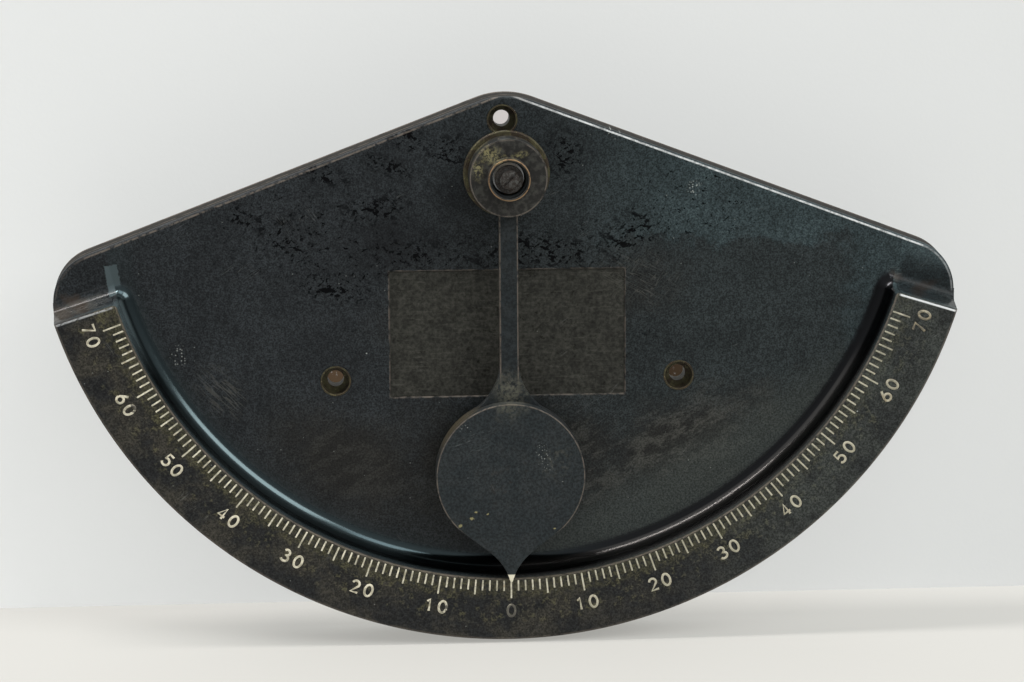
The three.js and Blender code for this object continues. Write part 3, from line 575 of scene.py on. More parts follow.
def end_shade_and_highlights(f, finishes, base, radius, off):
    """The face beyond the scale's ends: a painted shade over the right end's cove, a painted sheen on the
    right shoulder with a pale clouded place below it, and at the left a pale grey mottle and a painted
    highlight line along the foot of the end wall.
    """
    # Painted shade: the cove beyond the right end of the scale, darkened with the lost coat's black.
    ends = f.both(f.span(off, 0.2, 0.8), f.span(off, 15, 9), f.span(radius, 138, 141), f.span(f.x, 90, 110))
    base = f.cover(base, ends, 0.65, finishes.lost_coat_and_shade)
    left_end = f.both(f.span(f.x, -134, -137), f.span(f.height, 12.6, 13.6))
    # Painted highlight: a thin pale line along the foot of the left end wall.
    streak = f.both(f.near(off, 5.6, 0.18, 0.42), left_end, f.clouds(1.8, 4, 0.32, 0.44, rough=0.7), 0.80)
    mottle = f.both(f.span(off, 0.3, 0.9), f.span(off, 4.8, 4.0), left_end,
                    f.span(f.noise(1.6, 5, f.along(-20, 2.2, 1), 0.7), 0.42, 0.58), 0.32)
    base = f.blend(mottle, base, f.shade(finishes.coat_grey, 2.2))
    base = f.blend(streak, base, finishes.highlight_white)
    # Painted sheen: a pale streaky place on the right shoulder.
    sheen_streaks = f.span(f.noise(1.2, 5, f.along(2, 6, 0.6), 0.7), 0.36, 0.64)
    shoulder = f.both(f.patch(144, -28, 18, 11, 12, soft=1.0, ragged=0.3, grain=5), sheen_streaks, 0.36)
    lower = f.both(f.patch(118, -58, 12, 24, 20, soft=1.0, ragged=0.7, grain=6),
                   f.clouds(3.0, 6, 0.46, 0.60, rough=0.7), 0.14)
    return f.blend(f.both(f.either(shoulder, lower), up_to_face(f)), base, finishes.rubbed_grey_and_sheen)


def scale_surface(f, finishes, radius, grain, fine):
    """The matte surface of the scale, with ochre halos round the filled marks."""
    blotch = f.both(f.clouds(10, 6, 0.40, 0.62, rough=0.65), f.span(f.x, 0, 60, 1.0, 0.4))
    top = f.blend(blotch, finishes.scale_black, finishes.scale_brown)
    top = f.cover(top, f.clouds(1.6, 5, 0.56, 0.70, rough=0.7), 0.5, finishes.scale_brown)
    halo = f.both(f.clouds(2.4, 6, 0.54, 0.64, rough=0.7), f.near(radius, 147.0, 5.0, 8.5))
    top = f.cover(top, halo, 0.50, finishes.brass_olive)
    dirt = f.both(f.clouds(1.8, 5, 0.40, 0.56, rough=0.7), f.span(radius, 146.5, 143.5))
    top = f.cover(top, dirt, 0.42, finishes.brass_olive)
    top = f.blend(f.both(f.span(f.x, 45, 112), f.span(blotch, -0.5, 1.0)), top, finishes.scale_pale)
    return f.shade(f.shade(top, f.span(grain, 0.36, 0.64, 0.82, 1.20)), fine)


def outer_walls(f, finishes, base, rough):
    """The dark sides of the moulding."""
    wall = f.both(f.span(f.height, 11.9, 10.8), f.span(f.height, -1, 0.5))
    side = f.blend(f.span(f.noise(3.0, 5, f.along(deep=0.25), 0.7), 0.45, 0.68), finishes.wall_black,
                   finishes.scale_brown)
    return f.blend(wall, base, side), f.lerp(wall, rough, 0.78)


def edge_wear_and_highlights(f, finishes, sizes, base, radius, off):
    """Lines along the edges: a painted highlight along the face's edge, pale on the right where the light
    falls and brown on the left, a painted highlight along the scale's end edges, and brown lines worn along
    other edges.
    """
    slope, end = sizes.top_slope, scale_end(sizes)
    line = f.math("ADD", f.math("MULTIPLY", f.math("ABSOLUTE", f.x), math.sin(slope)),
                  f.math("MULTIPLY", f.z, math.cos(slope)))
    reach = line_reach(sizes) / MM
    broken = f.clouds(5.5, 5, 0.34, 0.50, rough=0.7)
    chips = f.clouds(1.5, 5, 0.36, 0.52, rough=0.75)
    right = f.span(f.x, -4, 14)
    corner = (back_radius(sizes) - sizes.shoulder_fillet) / MM
    across = f.math("SUBTRACT", f.math("ABSOLUTE", f.x), corner * math.sin(end))
    over = f.math("ADD", f.z, corner * math.cos(end))
    round_off = f.math("SQRT", f.math("ADD", f.math("POWER", across, 2), f.math("POWER", over, 2)))
    bend = sizes.shoulder_fillet / MM
    shoulder = f.both(f.span(round_off, bend - 1.75, bend - 1.45),
                      f.span(round_off, bend - 0.85, bend - 1.15),
                      f.span(across, 5.6, 6.6), f.span(over, -1, 1), 0.32)
    straight = f.both(f.span(line, reach - 1.70, reach - 1.45), f.span(line, reach - 0.85, reach - 1.15),
                      f.span(across, 7.2, 6.2))
    face_line = f.both(f.either(straight, shoulder), f.span(f.height, 11.6, 12.1), up_to_face(f))
    bright = f.both(face_line, right, f.math("MAXIMUM", broken, 0.75), f.math("MAXIMUM", chips, 0.55))
    left_line = f.both(face_line, f.outside(right), broken, chips, 0.65)
    back_line = f.both(f.span(f.height, 2.6, 1.6), f.span(line, reach - 3, reach - 2), broken, 0.55)
    second = f.both(f.near(f.height, 8.2, 0.3, 0.7), f.span(line, reach - 3, reach - 2), broken, chips,
                    f.outside(right), 0.6)
    rim_line = f.both(f.span(radius, 159.0, 159.5), f.span(f.height, 23.9, 24.6), broken, 0.30)
    inner_line = f.both(f.span(radius, 139.0, 138.6), f.span(radius, 137.8, 138.2),
                        f.span(f.height, 24.3, 24.9), chips, 0.45)
    end_line = f.both(f.span(off, -0.95, -0.65), f.span(off, -0.05, -0.3), f.span(f.height, 24.4, 24.9),
                      f.span(radius, 139, 140), f.span(radius, 160, 159),
                      f.lerp(right, f.both(chips, 0.42), 1.0))
    # Painted highlight: pale lines, broken by chips, along the face's edge on the right and along the scale's
    # end edges.
    base = f.blend(f.either(bright, f.both(end_line, 0.9)), base, finishes.highlight_white)
    return f.blend(f.either(left_line, back_line, second, rim_line, inner_line), base, finishes.edge_brown)


def scratched(f, finishes, base):
    """Scratches, rubs, dust and chips. Gives the colour and the scratches."""
    marks = f.either(f.scratches(55, 26, 1.2, chance=0.64, seed=3),
                     f.scratches(-35, 20, 1.0, chance=0.66, seed=11),
                     f.scratches(84, 30, 1.2, chance=0.68, seed=23))
    scrape = f.both(f.scratches(-62, 9, 0.7, fine=0.03, chance=0.35, seed=5),
                    f.patch(151.5, -31.5, 6.5, 5.5, 0, soft=0.6, ragged=0.4))
    base = f.cover(base, marks, 0.10, finishes.dust)
    base = f.cover(base, scrape, 0.45, finishes.rubbed_grey_and_sheen)
    rubs = f.either(f.both(f.scratches(42, 1.0, 9, fine=0.07, chance=0.42, seed=41),
                           f.patch(-98, -74, 15, 10, 45, soft=0.9, ragged=0.5, grain=4)),
                    f.both(f.either(f.scratches(-50, 1.0, 12, fine=0.03, chance=0.34, seed=53),
                                    f.scratches(30, 1.0, 12, fine=0.03, chance=0.34, seed=61)),
                           f.patch(46, -37, 18, 14, 0, soft=0.9, ragged=0.5, grain=5)))
    base = f.blend(f.both(rubs, 0.45), base, f.shade(finishes.coat_grey, 1.9))
    dots = f.either(f.both(f.specks(2.6, 0.24, 0.10), 0.6), f.specks(8, 0.34, 0.16),
                    f.both(f.specks(1.0, 0.30, 0.6, True), f.patches(CASE_DUST, soft=0.8, ragged=0.5)))
    return f.cover(base, dots, 0.65, finishes.dust), marks


def phenolic(finishes, sizes):
    """Old black moulding: a slate coat, flaked and scratched, with worn edges and a matte scale, and painted
    highlights, sheen and shade in places.

    It comes close to the largest material that Cycles can hold, so it has no nodes to spare.
    """
    f = Finish("case_phenolic")
    radius = f.away()
    up = f.span(f.height, 24.3, 24.9)
    grain = f.noise(1.2, 5, rough=0.65)
    cloud = f.noise(19, 5, rough=0.6)
    end = scale_end(sizes)
    off = f.math("ADD", f.math("MULTIPLY", f.math("ABSOLUTE", f.x), math.cos(end)),
                 f.math("MULTIPLY", f.z, math.sin(end)))
    base, fine, grey = slate_coat(f, finishes, cloud, grain)
    base, lost = flaked(f, finishes, base, grey)
    rough = f.lerp(lost, f.linear(cloud, 0.30, 0.24), 0.60)
    rough = f.math("ADD", rough, f.linear(grain, 0.16, -0.08))
    base, rough = sunk_panel(f, finishes, sizes, base, rough, grain)
    base, cove_sheen_band = rubbed_end_and_cove_sheen(f, finishes, base, radius, off)
    base, deep = glossy_cove(f, finishes, base, cove_sheen_band, radius, fine)
    base = end_shade_and_highlights(f, finishes, base, radius, off)
    gloss = f.either(deep, f.both(f.span(off, 0.2, 0.6), f.span(radius, 136, 138),
                                  f.span(f.height, 13.2, 14.0)))
    rough = f.lerp(gloss, rough, f.linear(grain, 0.12, f.span(f.x, -20, 20, 0.09, 0.12)))
    base = f.blend(up, base, scale_surface(f, finishes, radius, grain, fine))
    rough = f.lerp(up, rough, f.linear(cloud, 0.30, 0.30))
    base, rough = outer_walls(f, finishes, base, rough)
    base = edge_wear_and_highlights(f, finishes, sizes, base, radius, off)
    base, marks = scratched(f, finishes, base)
    bump = f.math("ADD", f.math("MULTIPLY", grain, 0.45), f.math("MULTIPLY", f.noise(9, 2), 0.35))
    bump = f.math("SUBTRACT", bump, f.math("MULTIPLY", f.either(marks, f.both(lost, 0.7)), 0.6))
    bump = f.both(bump, f.lerp(deep, 1.0, 0.10))
    metal = f.either(f.both(deep, f.outside(cove_sheen_band)), f.both(lost, 0.75))
    return f.finished(base, rough, bump, 0.05, metal, specular=0.13)


def scale_paint(finishes, name):
    """Cream fill, worn thin and stained in places."""
    f = Finish(name)
    base = f.blend(f.clouds(2.6, 5, 0.36, 0.66, rough=0.65), finishes.paint, finishes.paint_dull)
    grime = f.clouds(0.9, 4, 0.56, 0.68, rough=0.7)
    base = f.cover(base, grime, 0.55, finishes.paint_stain)
    stain = f.both(f.patches(PAINT_STAINS, soft=0.7, ragged=0.5),
                   f.clouds(1.4, 3, 0.30, 0.50))
    base = f.cover(base, stain, 0.85, finishes.paint_stain)
    faded = f.either(f.both(f.span(f.x, 4, 40), 0.75),
                     f.patches(FADED_PAINT, soft=0.8, ragged=0.4, grain=4))
    base = f.cover(base, faded, 0.80, finishes.paint_dull)
    gone = f.patches(WORN_DIGITS, soft=0.6, ragged=0.8, grain=1.2)
    dirty = f.both(f.patch(139, -60, 15, 24, 14, soft=0.9), f.clouds(1.2, 4, 0.38, 0.50, rough=0.65))
    base = f.cover(base, dirty, 0.75, finishes.scale_brown)
    brim = f.edges(0.20 * MM)
    base = f.blend(f.both(brim, 0.6, f.clouds(2.0, 3, 0.30, 0.55)), base, finishes.paint_stain)
    lost = f.both(f.patch(0.6, -149.8, 3.2, 3.2, 0, soft=0.3, ragged=0.3), f.clouds(1.1, 3, 0.28, 0.36))
    bare = f.either(lost, f.both(gone, f.clouds(0.9, 3, 0.36, 0.44)),
                    f.clouds(1.0, 5, 0.63, 0.67, rough=0.75))
    base = f.cover(base, bare, 0.9, finishes.scale_brown)
    return f.finished(base, f.linear(f.noise(1.5, 3), 0.2, 0.5), f.noise(0.5, 4), 0.03)


def old_brass(finishes, name, clean):
    """Tarnished brass, olive to brown, rubbed to ochre along its edges."""
    f = Finish(name)
    base = f.blend(f.clouds(3.2, 5, 0.38, 0.62, rough=0.65), finishes.brass_olive, finishes.brass_brown)
    crust = f.clouds(1.0, 6, 0.56, 0.66, rough=0.75)
    base = f.cover(base, crust, 0.40, finishes.brass_pale)
    edge = f.both(f.edges(0.4 * MM), f.clouds(2.2, 4, 0.56 - 0.2 * clean, 0.68 - 0.15 * clean, rough=0.7))
    base = f.cover(base, edge, 0.75, finishes.brass_ochre)
    rough = f.linear(f.noise(1.6, 4), 0.3, 0.36)
    bump = f.noise(0.7, 5, rough=0.65)
    return f.finished(base, rough, bump, 0.04, f.lerp(edge, 0.25, 0.8), specular=0.25)


def hub_brass(finishes):
    """Dark brown-grey turned brass with a mottled pale patch and copper edges."""
    f = Finish("hub_finish")
    radius = f.away()
    rings = f.rings(0.55, radius)
    base = f.blend(f.clouds(2.6, 6, 0.44, 0.64, rough=0.7), finishes.hub_dark, finishes.hub_mottle)
    fine = f.noise(0.9, 6, rough=0.75)
    pale = f.both(f.patches(HUB_CRUST, soft=0.9, ragged=0.6, grain=1.6), f.span(fine, 0.44, 0.56))
    base = f.cover(base, pale, 0.62, finishes.brass_pale)
    rust = f.both(f.span(fine, 0.62, 0.70), f.patch(-4, 6, 9, 7, 30, soft=0.9))
    base = f.cover(base, rust, 0.4, finishes.brass_ochre)
    bowl = f.both(f.span(radius, 6.45, 6.2), f.span(f.height, 31.0, 30.4))
    rim = f.both(f.edges(0.35 * MM), f.clouds(2.6, 5, 0.36, 0.54, rough=0.7), 0.75,
                 f.outside(bowl))
    lip = f.both(f.near(radius, 6.90, 0.12, 0.28),
                 f.span(f.height, 30.4, 30.8), 0.8,
                 f.math("MAXIMUM", f.clouds(2.6, 4, 0.34, 0.48, rough=0.7), 0.3))
    edge = f.either(rim, lip)
    base = f.blend(edge, base, finishes.brass_ochre)
    outer = f.both(f.near(radius, 12.85, 0.12, 0.30),
                   f.clouds(3.0, 4, 0.36, 0.54, rough=0.7), 0.5)
    base = f.blend(outer, base, finishes.edge_brown)
    base = f.cover(base, bowl, 0.85, finishes.slate)
    rough = f.lerp(bowl, f.linear(f.noise(1.8, 4), 0.25, 0.32), 0.65)
    bump = f.math("ADD", f.math("MULTIPLY", rings, 0.4), f.noise(0.8, 5))
    return f.finished(base, rough, bump, 0.03, f.lerp(edge, f.lerp(bowl, 0.15, 0), 0.85), specular=0.25)


def slate_brass(finishes, name, kind):
    """Blue-black lacquer over brass, thin and greenish near the bob, with a white tip on the pointer."""
    f = Finish(name)
    fine = f.noise(1.3, 6, rough=0.7)
    base = f.blend(f.both(f.clouds(5, 4, 0.40, 0.64), 0.35), finishes.slate, finishes.slate_light)
    base = f.shade(base, f.span(f.noise(0.9, 6, rough=0.75), 0.38, 0.62, 0.62, 1.50))
    if kind == "arm":
        base = f.shade(base, 0.82)
    thin = f.both(f.patch(0, -74, 9, 11, 0, soft=1.0, ragged=0.5, grain=3), f.span(fine, 0.38, 0.60))
    base = f.cover(base, thin, 0.90, finishes.slate_worn)
    disc = f.away(0, -102.2)
    ring = f.both(f.near(disc, 25.15, 0.14, 0.26), f.span(f.z, -123, -119))
    bar = f.both(f.near(f.math("ABSOLUTE", f.x), 3.0, 0.16, 0.34), f.span(f.z, -72, -66))
    line = f.either(ring, bar) if kind != "back" else ring
    edge = f.both(f.either(line, f.both(f.edges(0.45 * MM), 0.8)), f.clouds(2.8, 5, 0.34, 0.54, rough=0.7))
    base = f.cover(base, edge, 0.62, finishes.edge_brown)
    rust = f.both(f.clouds(3.5, 6, 0.54, 0.66, rough=0.7), f.patch(-1, -104, 16, 14, 0, soft=0.9))
    base = f.cover(base, rust, 0.30, finishes.case_brown)
    bloom = f.both(f.clouds(1.6, 6, 0.48, 0.62, rough=0.75), f.patch(16, -97, 9, 9, 0, soft=0.9))
    base = f.cover(base, bloom, 0.30, finishes.slate_worn)
    crumbs = f.patches(BOB_CRUMBS, soft=0.5, ragged=0.9, grain=0.5)
    base = f.cover(base, crumbs, 0.65, finishes.brass_pale)
    side = f.both(f.span(disc, 24.7, 25.2), f.patch(-19, -85, 14, 13, 0, soft=0.8, ragged=0.4),
                  f.span(f.height, 27.5, 27.0))
    base = f.cover(base, side, 0.60, finishes.side_brass)
    dots = f.either(f.both(f.specks(3.6, 0.24, 0.12), 0.8),
                    f.both(f.specks(0.9, 0.21, 0.55, True), f.patches(BOB_DUST, soft=0.9, ragged=0.6)))
    base = f.cover(base, dots, 0.65, finishes.dust)
    marks = f.either(f.scratches(70, 14, 0.9, chance=0.62, seed=7),
                     f.scratches(-20, 16, 0.9, chance=0.64, seed=19))
    base = f.cover(base, marks, 0.10, finishes.dust)
    nick = f.patch(23.4, -115.8, 1.0, 0.35, 30, soft=0.6, ragged=0.2)
    base = f.cover(base, nick, 0.6, finishes.dust)
    rough = f.linear(f.noise(2.0, 4), 0.24, 0.34)
    metal = f.lerp(f.either(edge, side), 0.0, 0.35)
    if kind == "bob":
        tip = f.both(f.span(f.z, -136.2, -136.5), f.clouds(0.7, 3, 0.22, 0.30))
        base = f.blend(tip, base, finishes.paint)
        metal = f.both(metal, f.outside(tip))
    bump = f.math("ADD", fine, f.math("MULTIPLY", f.noise(5, 2), 0.6))
    return f.finished(base, rough, bump, 0.04, metal, specular=0.14)


def dark_steel(finishes, name="dark_steel_finish"):
    """Browned steel with a grey bloom and brighter edges."""
    f = Finish(name)
    base = f.blend(f.clouds(1.0, 6, 0.46, 0.60, rough=0.75), finishes.steel_dark, finishes.steel_mottle)
    edge = f.both(f.edges(0.2 * MM), f.clouds(1.1, 4, 0.46, 0.62, rough=0.7))
    base = f.cover(base, edge, 0.22, finishes.brass_ochre)
    rough = f.linear(f.noise(0.9, 4), 0.3, 0.52)
    return f.finished(base, rough, f.noise(0.35, 5, rough=0.7), 0.03, 0.1, specular=0.2)


def turned_brass(finishes):
    """Clean brass with fine turning rings and a little tarnish."""
    f = Finish("turned_brass_finish")
    rings = f.rings(0.22, f.away())
    base = f.blend(f.clouds(3.0, 5, 0.50, 0.72, rough=0.65), finishes.brass_bright, finishes.brass_ochre)
    rough = f.linear(rings, 0.18, 0.22)
    return f.finished(base, rough, rings, 0.012, 1.0)


def bearing_steel(finishes):
    """Ground steel with fine rings and faint brown spots."""
    f = Finish("bearing_steel_finish")
    rings = f.rings(0.16, f.away())
    spots = f.clouds(0.8, 5, 0.62, 0.72, rough=0.7)
    base = f.blend(f.both(spots, 0.5), finishes.steel, finishes.steel_dark)
    return f.finished(base, f.linear(rings, 0.12, 0.16), rings, 0.006, 1.0)


EVEN_SHARE = 0.6  # of what the camera sees of the room's paint is an even tone


def room_paint(name, colour, seen, shades=(), fades_to_shade=False):
    """Matt paint, seen from its front only, and partly of an even tone where the camera looks at it."""
    f = Finish(name)
    base = f.blend(f.clouds(240, 3, 0.3, 0.7), colour, tinted(colour, 0.975))
    even = f.blend(f.clouds(160, 2, 0.3, 0.7), seen, tinted(seen, 0.985))
    # Painted shade: the floor darkens to three tenths of its tone from 130 mm to 800 mm out in front.
    if fades_to_shade:
        near = f.span(f.height, 130, 800)
        base, even = f.blend(near, base, tinted(colour, 0.30)), f.blend(near, even, tinted(seen, 0.30))
    # Painted shade: the wall darker towards the right and lighter to the left, more so lower down.
    if shades:
        lean = f.linear(f.x, f.linear(f.z, 0.0000016, -0.00031), 1.0)
        base, even = f.shade(base, lean), f.shade(even, lean)
    for tone, rows in shades:
        spot = f.both(f.patches(rows, soft=0.4, ragged=0.1, grain=3),
                      f.lerp(f.clouds(1.2, 4, 0.60, 0.68, rough=0.7), 1.0, 0.75))
        base, even = f.blend(spot, base, tone), f.blend(spot, even, tone)
    f.finished(base, 0.85, f.noise(1.5, 4), 0.04)
    glow = f.add("ShaderNodeEmission", Color=even, Strength=1.0).outputs[0]
    path = f.add("ShaderNodeLightPath").outputs
    even_here = f.either(path["Is Camera Ray"], path["Is Glossy Ray"], path["Is Transmission Ray"])
    front = f.add("ShaderNodeMixShader", Fac=f.both(even_here, EVEN_SHARE))
    f.feed(front.inputs[1], f.shader.outputs[0])
    f.feed(front.inputs[2], glow)
    through = f.add("ShaderNodeBsdfTransparent").outputs[0]
    facing = f.add("ShaderNodeNewGeometry").outputs["Backfacing"]
    if not fades_to_shade:
        facing = f.either(facing, path["Is Diffuse Ray"], path["Is Shadow Ray"])
    mix = f.add("ShaderNodeMixShader", Fac=facing)
    f.feed(mix.inputs[1], front.outputs[0])
    f.feed(mix.inputs[2], through)
    f.feed(f.tree.nodes["Material Output"].inputs["Surface"], mix.outputs[0])
    return f.material


# Modelling by hand, in code.

def rest():
    """Object mode, with nothing selected."""
    if bpy.context.mode != "OBJECT":
        bpy.ops.object.mode_set(mode="OBJECT")
    bpy.ops.object.select_all(action="DESELECT")


def pick(thing):
    """Only this object selected, and active."""
    rest()
    thing.select_set(True)
    bpy.context.view_layer.objects.active = thing


class Pen:
    """Draws one line of points by extrusion and spin, in edit mode, from a single point."""

    def __init__(self, x, height, z):
        rest()
        bpy.ops.mesh.primitive_plane_add(size=MM, location=(x, -height, z))
        bpy.ops.object.mode_set(mode="EDIT")
        bpy.ops.mesh.merge(type="CENTER")
        self.thing = bpy.context.object
        self.at = Vector((x, -height, z))

    def to(self, x, height, z):
        target = Vector((x, -height, z))
        bpy.ops.mesh.extrude_region_move(TRANSFORM_OT_translate={"value": target - self.at})
        self.at = target

    def arc(self, x, z, angle, steps):
        """Turns about the point (x, z), from +X towards +Z where the angle is positive."""
        centre = Vector((x, self.at.y, z))
        bpy.ops.mesh.spin(steps=steps, angle=angle, center=centre, axis=(0, 1, 0))
        arm = self.at - centre
        c, s = math.cos(angle), math.sin(angle)
        self.at = centre + Vector((arm.x * c - arm.z * s, 0, arm.x * s + arm.z * c))

    def close(self):
        """Joins the line's two ends."""
        bpy.ops.mesh.select_all(action="SELECT")
        bpy.ops.mesh.remove_doubles(threshold=0.002 * MM)

    def face(self):
        """Closes the line and fills it with one face."""
        self.close()
        bpy.ops.mesh.edge_face_add()

    def front_face(self):
        """Closes the line and fills it with one face that looks to the front."""
        self.face()
        bpy.ops.object.mode_set(mode="OBJECT")
        backwards = self.thing.data.polygons[0].normal.y > 0
        bpy.ops.object.mode_set(mode="EDIT")
        bpy.ops.mesh.select_all(action="SELECT")
        if backwards:
            bpy.ops.mesh.flip_normals()


def drawn(points):
    """A line through points given as (x, height, z)."""
    pen = Pen(*points[0])
    for point in points[1:]:
        pen.to(*point)
    return pen


def pull(x, height, z):
    """Extrudes what is selected."""
    bpy.ops.mesh.extrude_region_move(TRANSFORM_OT_translate={"value": (x, -height, z)})


def outward():
    """All faces of the mesh in edit mode point outwards."""
    bpy.ops.mesh.select_all(action="SELECT")
    bpy.ops.mesh.remove_doubles(threshold=0.001 * MM)
    bpy.ops.mesh.normals_make_consistent(inside=False)


def settled(name):
    """Goes to object mode, and puts the object at the origin with its place in its mesh."""
    bpy.ops.object.mode_set(mode="OBJECT")
    bpy.ops.object.transform_apply(location=True, rotation=True, scale=True)
    thing = bpy.context.object
    thing.name = thing.data.name = name
    return thing


def turned(name, profile, steps=128, x=0.0, z=0.0):
    """Spins a profile of (radius, height) points about a line parallel to the pivot axis."""
    points = [(x + radius, height, z) for radius, height in profile]
    if profile[0][0] > 0:
        points.append(points[0])
    drawn(points).close()
    bpy.ops.mesh.spin(steps=steps, angle=FULL_TURN, center=(x, 0, z), axis=(0, 1, 0))
    outward()
    return settled(name)


def applied(thing, kind, **settings):
    """Adds one modifier and applies it."""
    pick(thing)
    modifier = thing.modifiers.new(kind.title(), kind)
    for key, value in settings.items():
        setattr(modifier, key, value)
    bpy.ops.object.modifier_apply(modifier=modifier.name)
    return thing


def combine(thing, tool, operation):
    """Applies one boolean and removes its tool."""
    applied(thing, "BOOLEAN", operation=operation, solver="EXACT", object=tool)
    bpy.data.objects.remove(tool)
    return thing


def cut(thing, *tools):
    for tool in tools:
        combine(thing, tool, "DIFFERENCE")
    return thing


def joined(thing, *others):
    for other in others:
        combine(thing, other, "UNION")
    return thing


def rounded(thing, width, segments=3, angle=40):
    """Rounds every edge that turns by more than an angle in degrees."""
    return applied(thing, "BEVEL", width=width, segments=segments, limit_method="ANGLE",
                   angle_limit=math.radians(angle), miter_outer="MITER_ARC", use_clamp_overlap=True)


def smooth(thing, angle=32):
    """Smooth shading, kept crisp at edges and flat on the broad faces."""
    pick(thing)
    bpy.ops.object.shade_smooth_by_angle(angle=math.radians(angle))
    return applied(thing, "WEIGHTED_NORMAL", keep_sharp=True, weight=100)


def dressed(thing, finish, body, slot=None, *nodes):
    """Gives a finished piece its material and its body, and hides the nodes it stands for. The slot is not
    used.
    """
    thing.data.materials.clear()
    thing.data.materials.append(finish)
    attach(thing, body)
    if nodes:
        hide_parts(*nodes)
    return thing


def block(name, size, place, turn=0.0):
    """A box of that size about a place given as (x, height, z), turned about the pivot's direction."""
    rest()
    x, height, z = place
    bpy.ops.mesh.primitive_cube_add(size=1, location=(x, -height, z), rotation=(0, turn, 0))
    bpy.context.object.scale = size
    return settled(name)


# The moulded case.

def draft_at(sizes, height):
    """How far a moulded wall leans in over that height."""
    return height * math.tan(sizes.draft)


def back_radius(sizes):
    """The outer arc's radius at the back of the case."""
    return sizes.scale_radius + draft_at(sizes, sizes.scale_height)


def line_reach(sizes):
    """Square distance from the pivot to a sloping top edge."""
    return sizes.apex_rise * math.cos(sizes.top_slope)


def scale_end(sizes):
    """Half the angle that the scale and the lower arc span."""
    cosine = (sizes.shoulder_fillet - line_reach(sizes)) / (back_radius(sizes) - sizes.shoulder_fillet)
    return math.acos(cosine) - sizes.top_slope


def fan_outline(sizes, inset, height, arc_steps=210, corner_steps=26):
    """Draws the fan: arc, right shoulder, apex, left shoulder."""
    end = scale_end(sizes)
    right = QUARTER - sizes.top_slope
    start = end - QUARTER
    reach = back_radius(sizes) - sizes.shoulder_fillet
    x, z = reach * math.sin(end), -reach * math.cos(end)
    shoulder = sizes.shoulder_fillet - inset
    apex = sizes.apex_fillet - inset
    apex_z = (line_reach(sizes) - sizes.apex_fillet) / math.cos(sizes.top_slope)
    outer = back_radius(sizes) - inset
    pen = Pen(-outer * math.sin(end), height, -outer * math.cos(end))
    pen.arc(0, 0, 2 * end, arc_steps)
    pen.arc(x, z, right - start, corner_steps)
    pen.to(apex * math.cos(right), height, apex_z + apex * math.sin(right))
    pen.arc(0, apex_z, 2 * sizes.top_slope, corner_steps)
    pen.to(-x - shoulder * math.cos(right), height, z + shoulder * math.sin(right))
    pen.arc(-x, z, right - start, corner_steps)
    pen.front_face()


def fan_block(name, sizes, inset, base, top, edge=0.0, drafted=True):
    """A solid fan from one height to another, with leaning walls and a rounded front edge."""
    fan_outline(sizes, inset, base)
    skirt = 0.15 * MM
    pull(0, skirt, 0)
    rise = top - base - skirt - edge
    lean = draft_at(sizes, rise) if drafted else 0
    bpy.ops.mesh.inset(thickness=max(lean, 0.001 * MM), depth=rise)
    rings = 5 if edge else 0
    for i in range(rings):
        a, b = QUARTER * i / rings, QUARTER * (i + 1) / rings
        bpy.ops.mesh.inset(thickness=edge * (math.cos(a) - math.cos(b)),
                           depth=edge * (math.sin(b) - math.sin(a)))
    return settled(name)


def cove_line(sizes):
    """Points (radius, height) up the cove, the leaning wall and the rounded edge of the rim."""
    face, cove, edge = sizes.face_height - 0.01 * MM, sizes.cove_radius, sizes.edge_round / 2
    top = sizes.scale_height + 0.01 * MM
    foot = sizes.scale_inner - sizes.wall_lean - cove
    points = []
    for i in range(15):
        turn = QUARTER * i / 14
        points.append((foot + cove * math.sin(turn), face + cove * (1 - math.cos(turn))))
    for i in range(5):
        turn = QUARTER * i / 4
        points.append((sizes.scale_inner + edge * (1 - math.cos(turn)), top - edge * (1 - math.sin(turn))))
    return points


def dish_ring(sizes):
    """The scale's rim with its cove, as a full ring that the fan then trims."""
    over = OVERREACH
    points = cove_line(sizes)
    high, outside = sizes.scale_height + over, back_radius(sizes) + over
    profile = [(points[0][0], -over)] + points + [(points[-1][0], high), (outside, high), (outside, -over)]
    return turned("rim", profile, steps=540)


def end_directions(sizes, side):
    """Square to the scale's end line, away from the scale, and along that line, away from the pivot."""
    end = scale_end(sizes)
    return (Vector((side * math.cos(end), 0, math.sin(end))),
            Vector((side * math.sin(end), 0, -math.cos(end))))


def corner_cutter(sizes, side):
    """Wraps the cove round the inner corner at one end of the scale."""
    over, blunt = OVERREACH, 1.2 * MM
    along, out = end_directions(sizes, side)
    centre = out * (sizes.scale_inner + blunt) - along * blunt
    points = [(blunt + sizes.scale_inner - radius, height) for radius, height in cove_line(sizes)]
    far, high = 20 * MM, sizes.scale_height + over
    points = [(points[0][0], -over)] + points + [(points[-1][0], high), (far, high), (far, -over)]
    line = []
    for away, height in points:
        place = centre - out * away
        line.append((place.x, height, place.z))
    drawn(line + line[:1]).face()
    bpy.ops.mesh.spin(steps=14, angle=-side * QUARTER, center=centre, axis=(0, 1, 0))
    outward()
    return settled("corner_cutter")


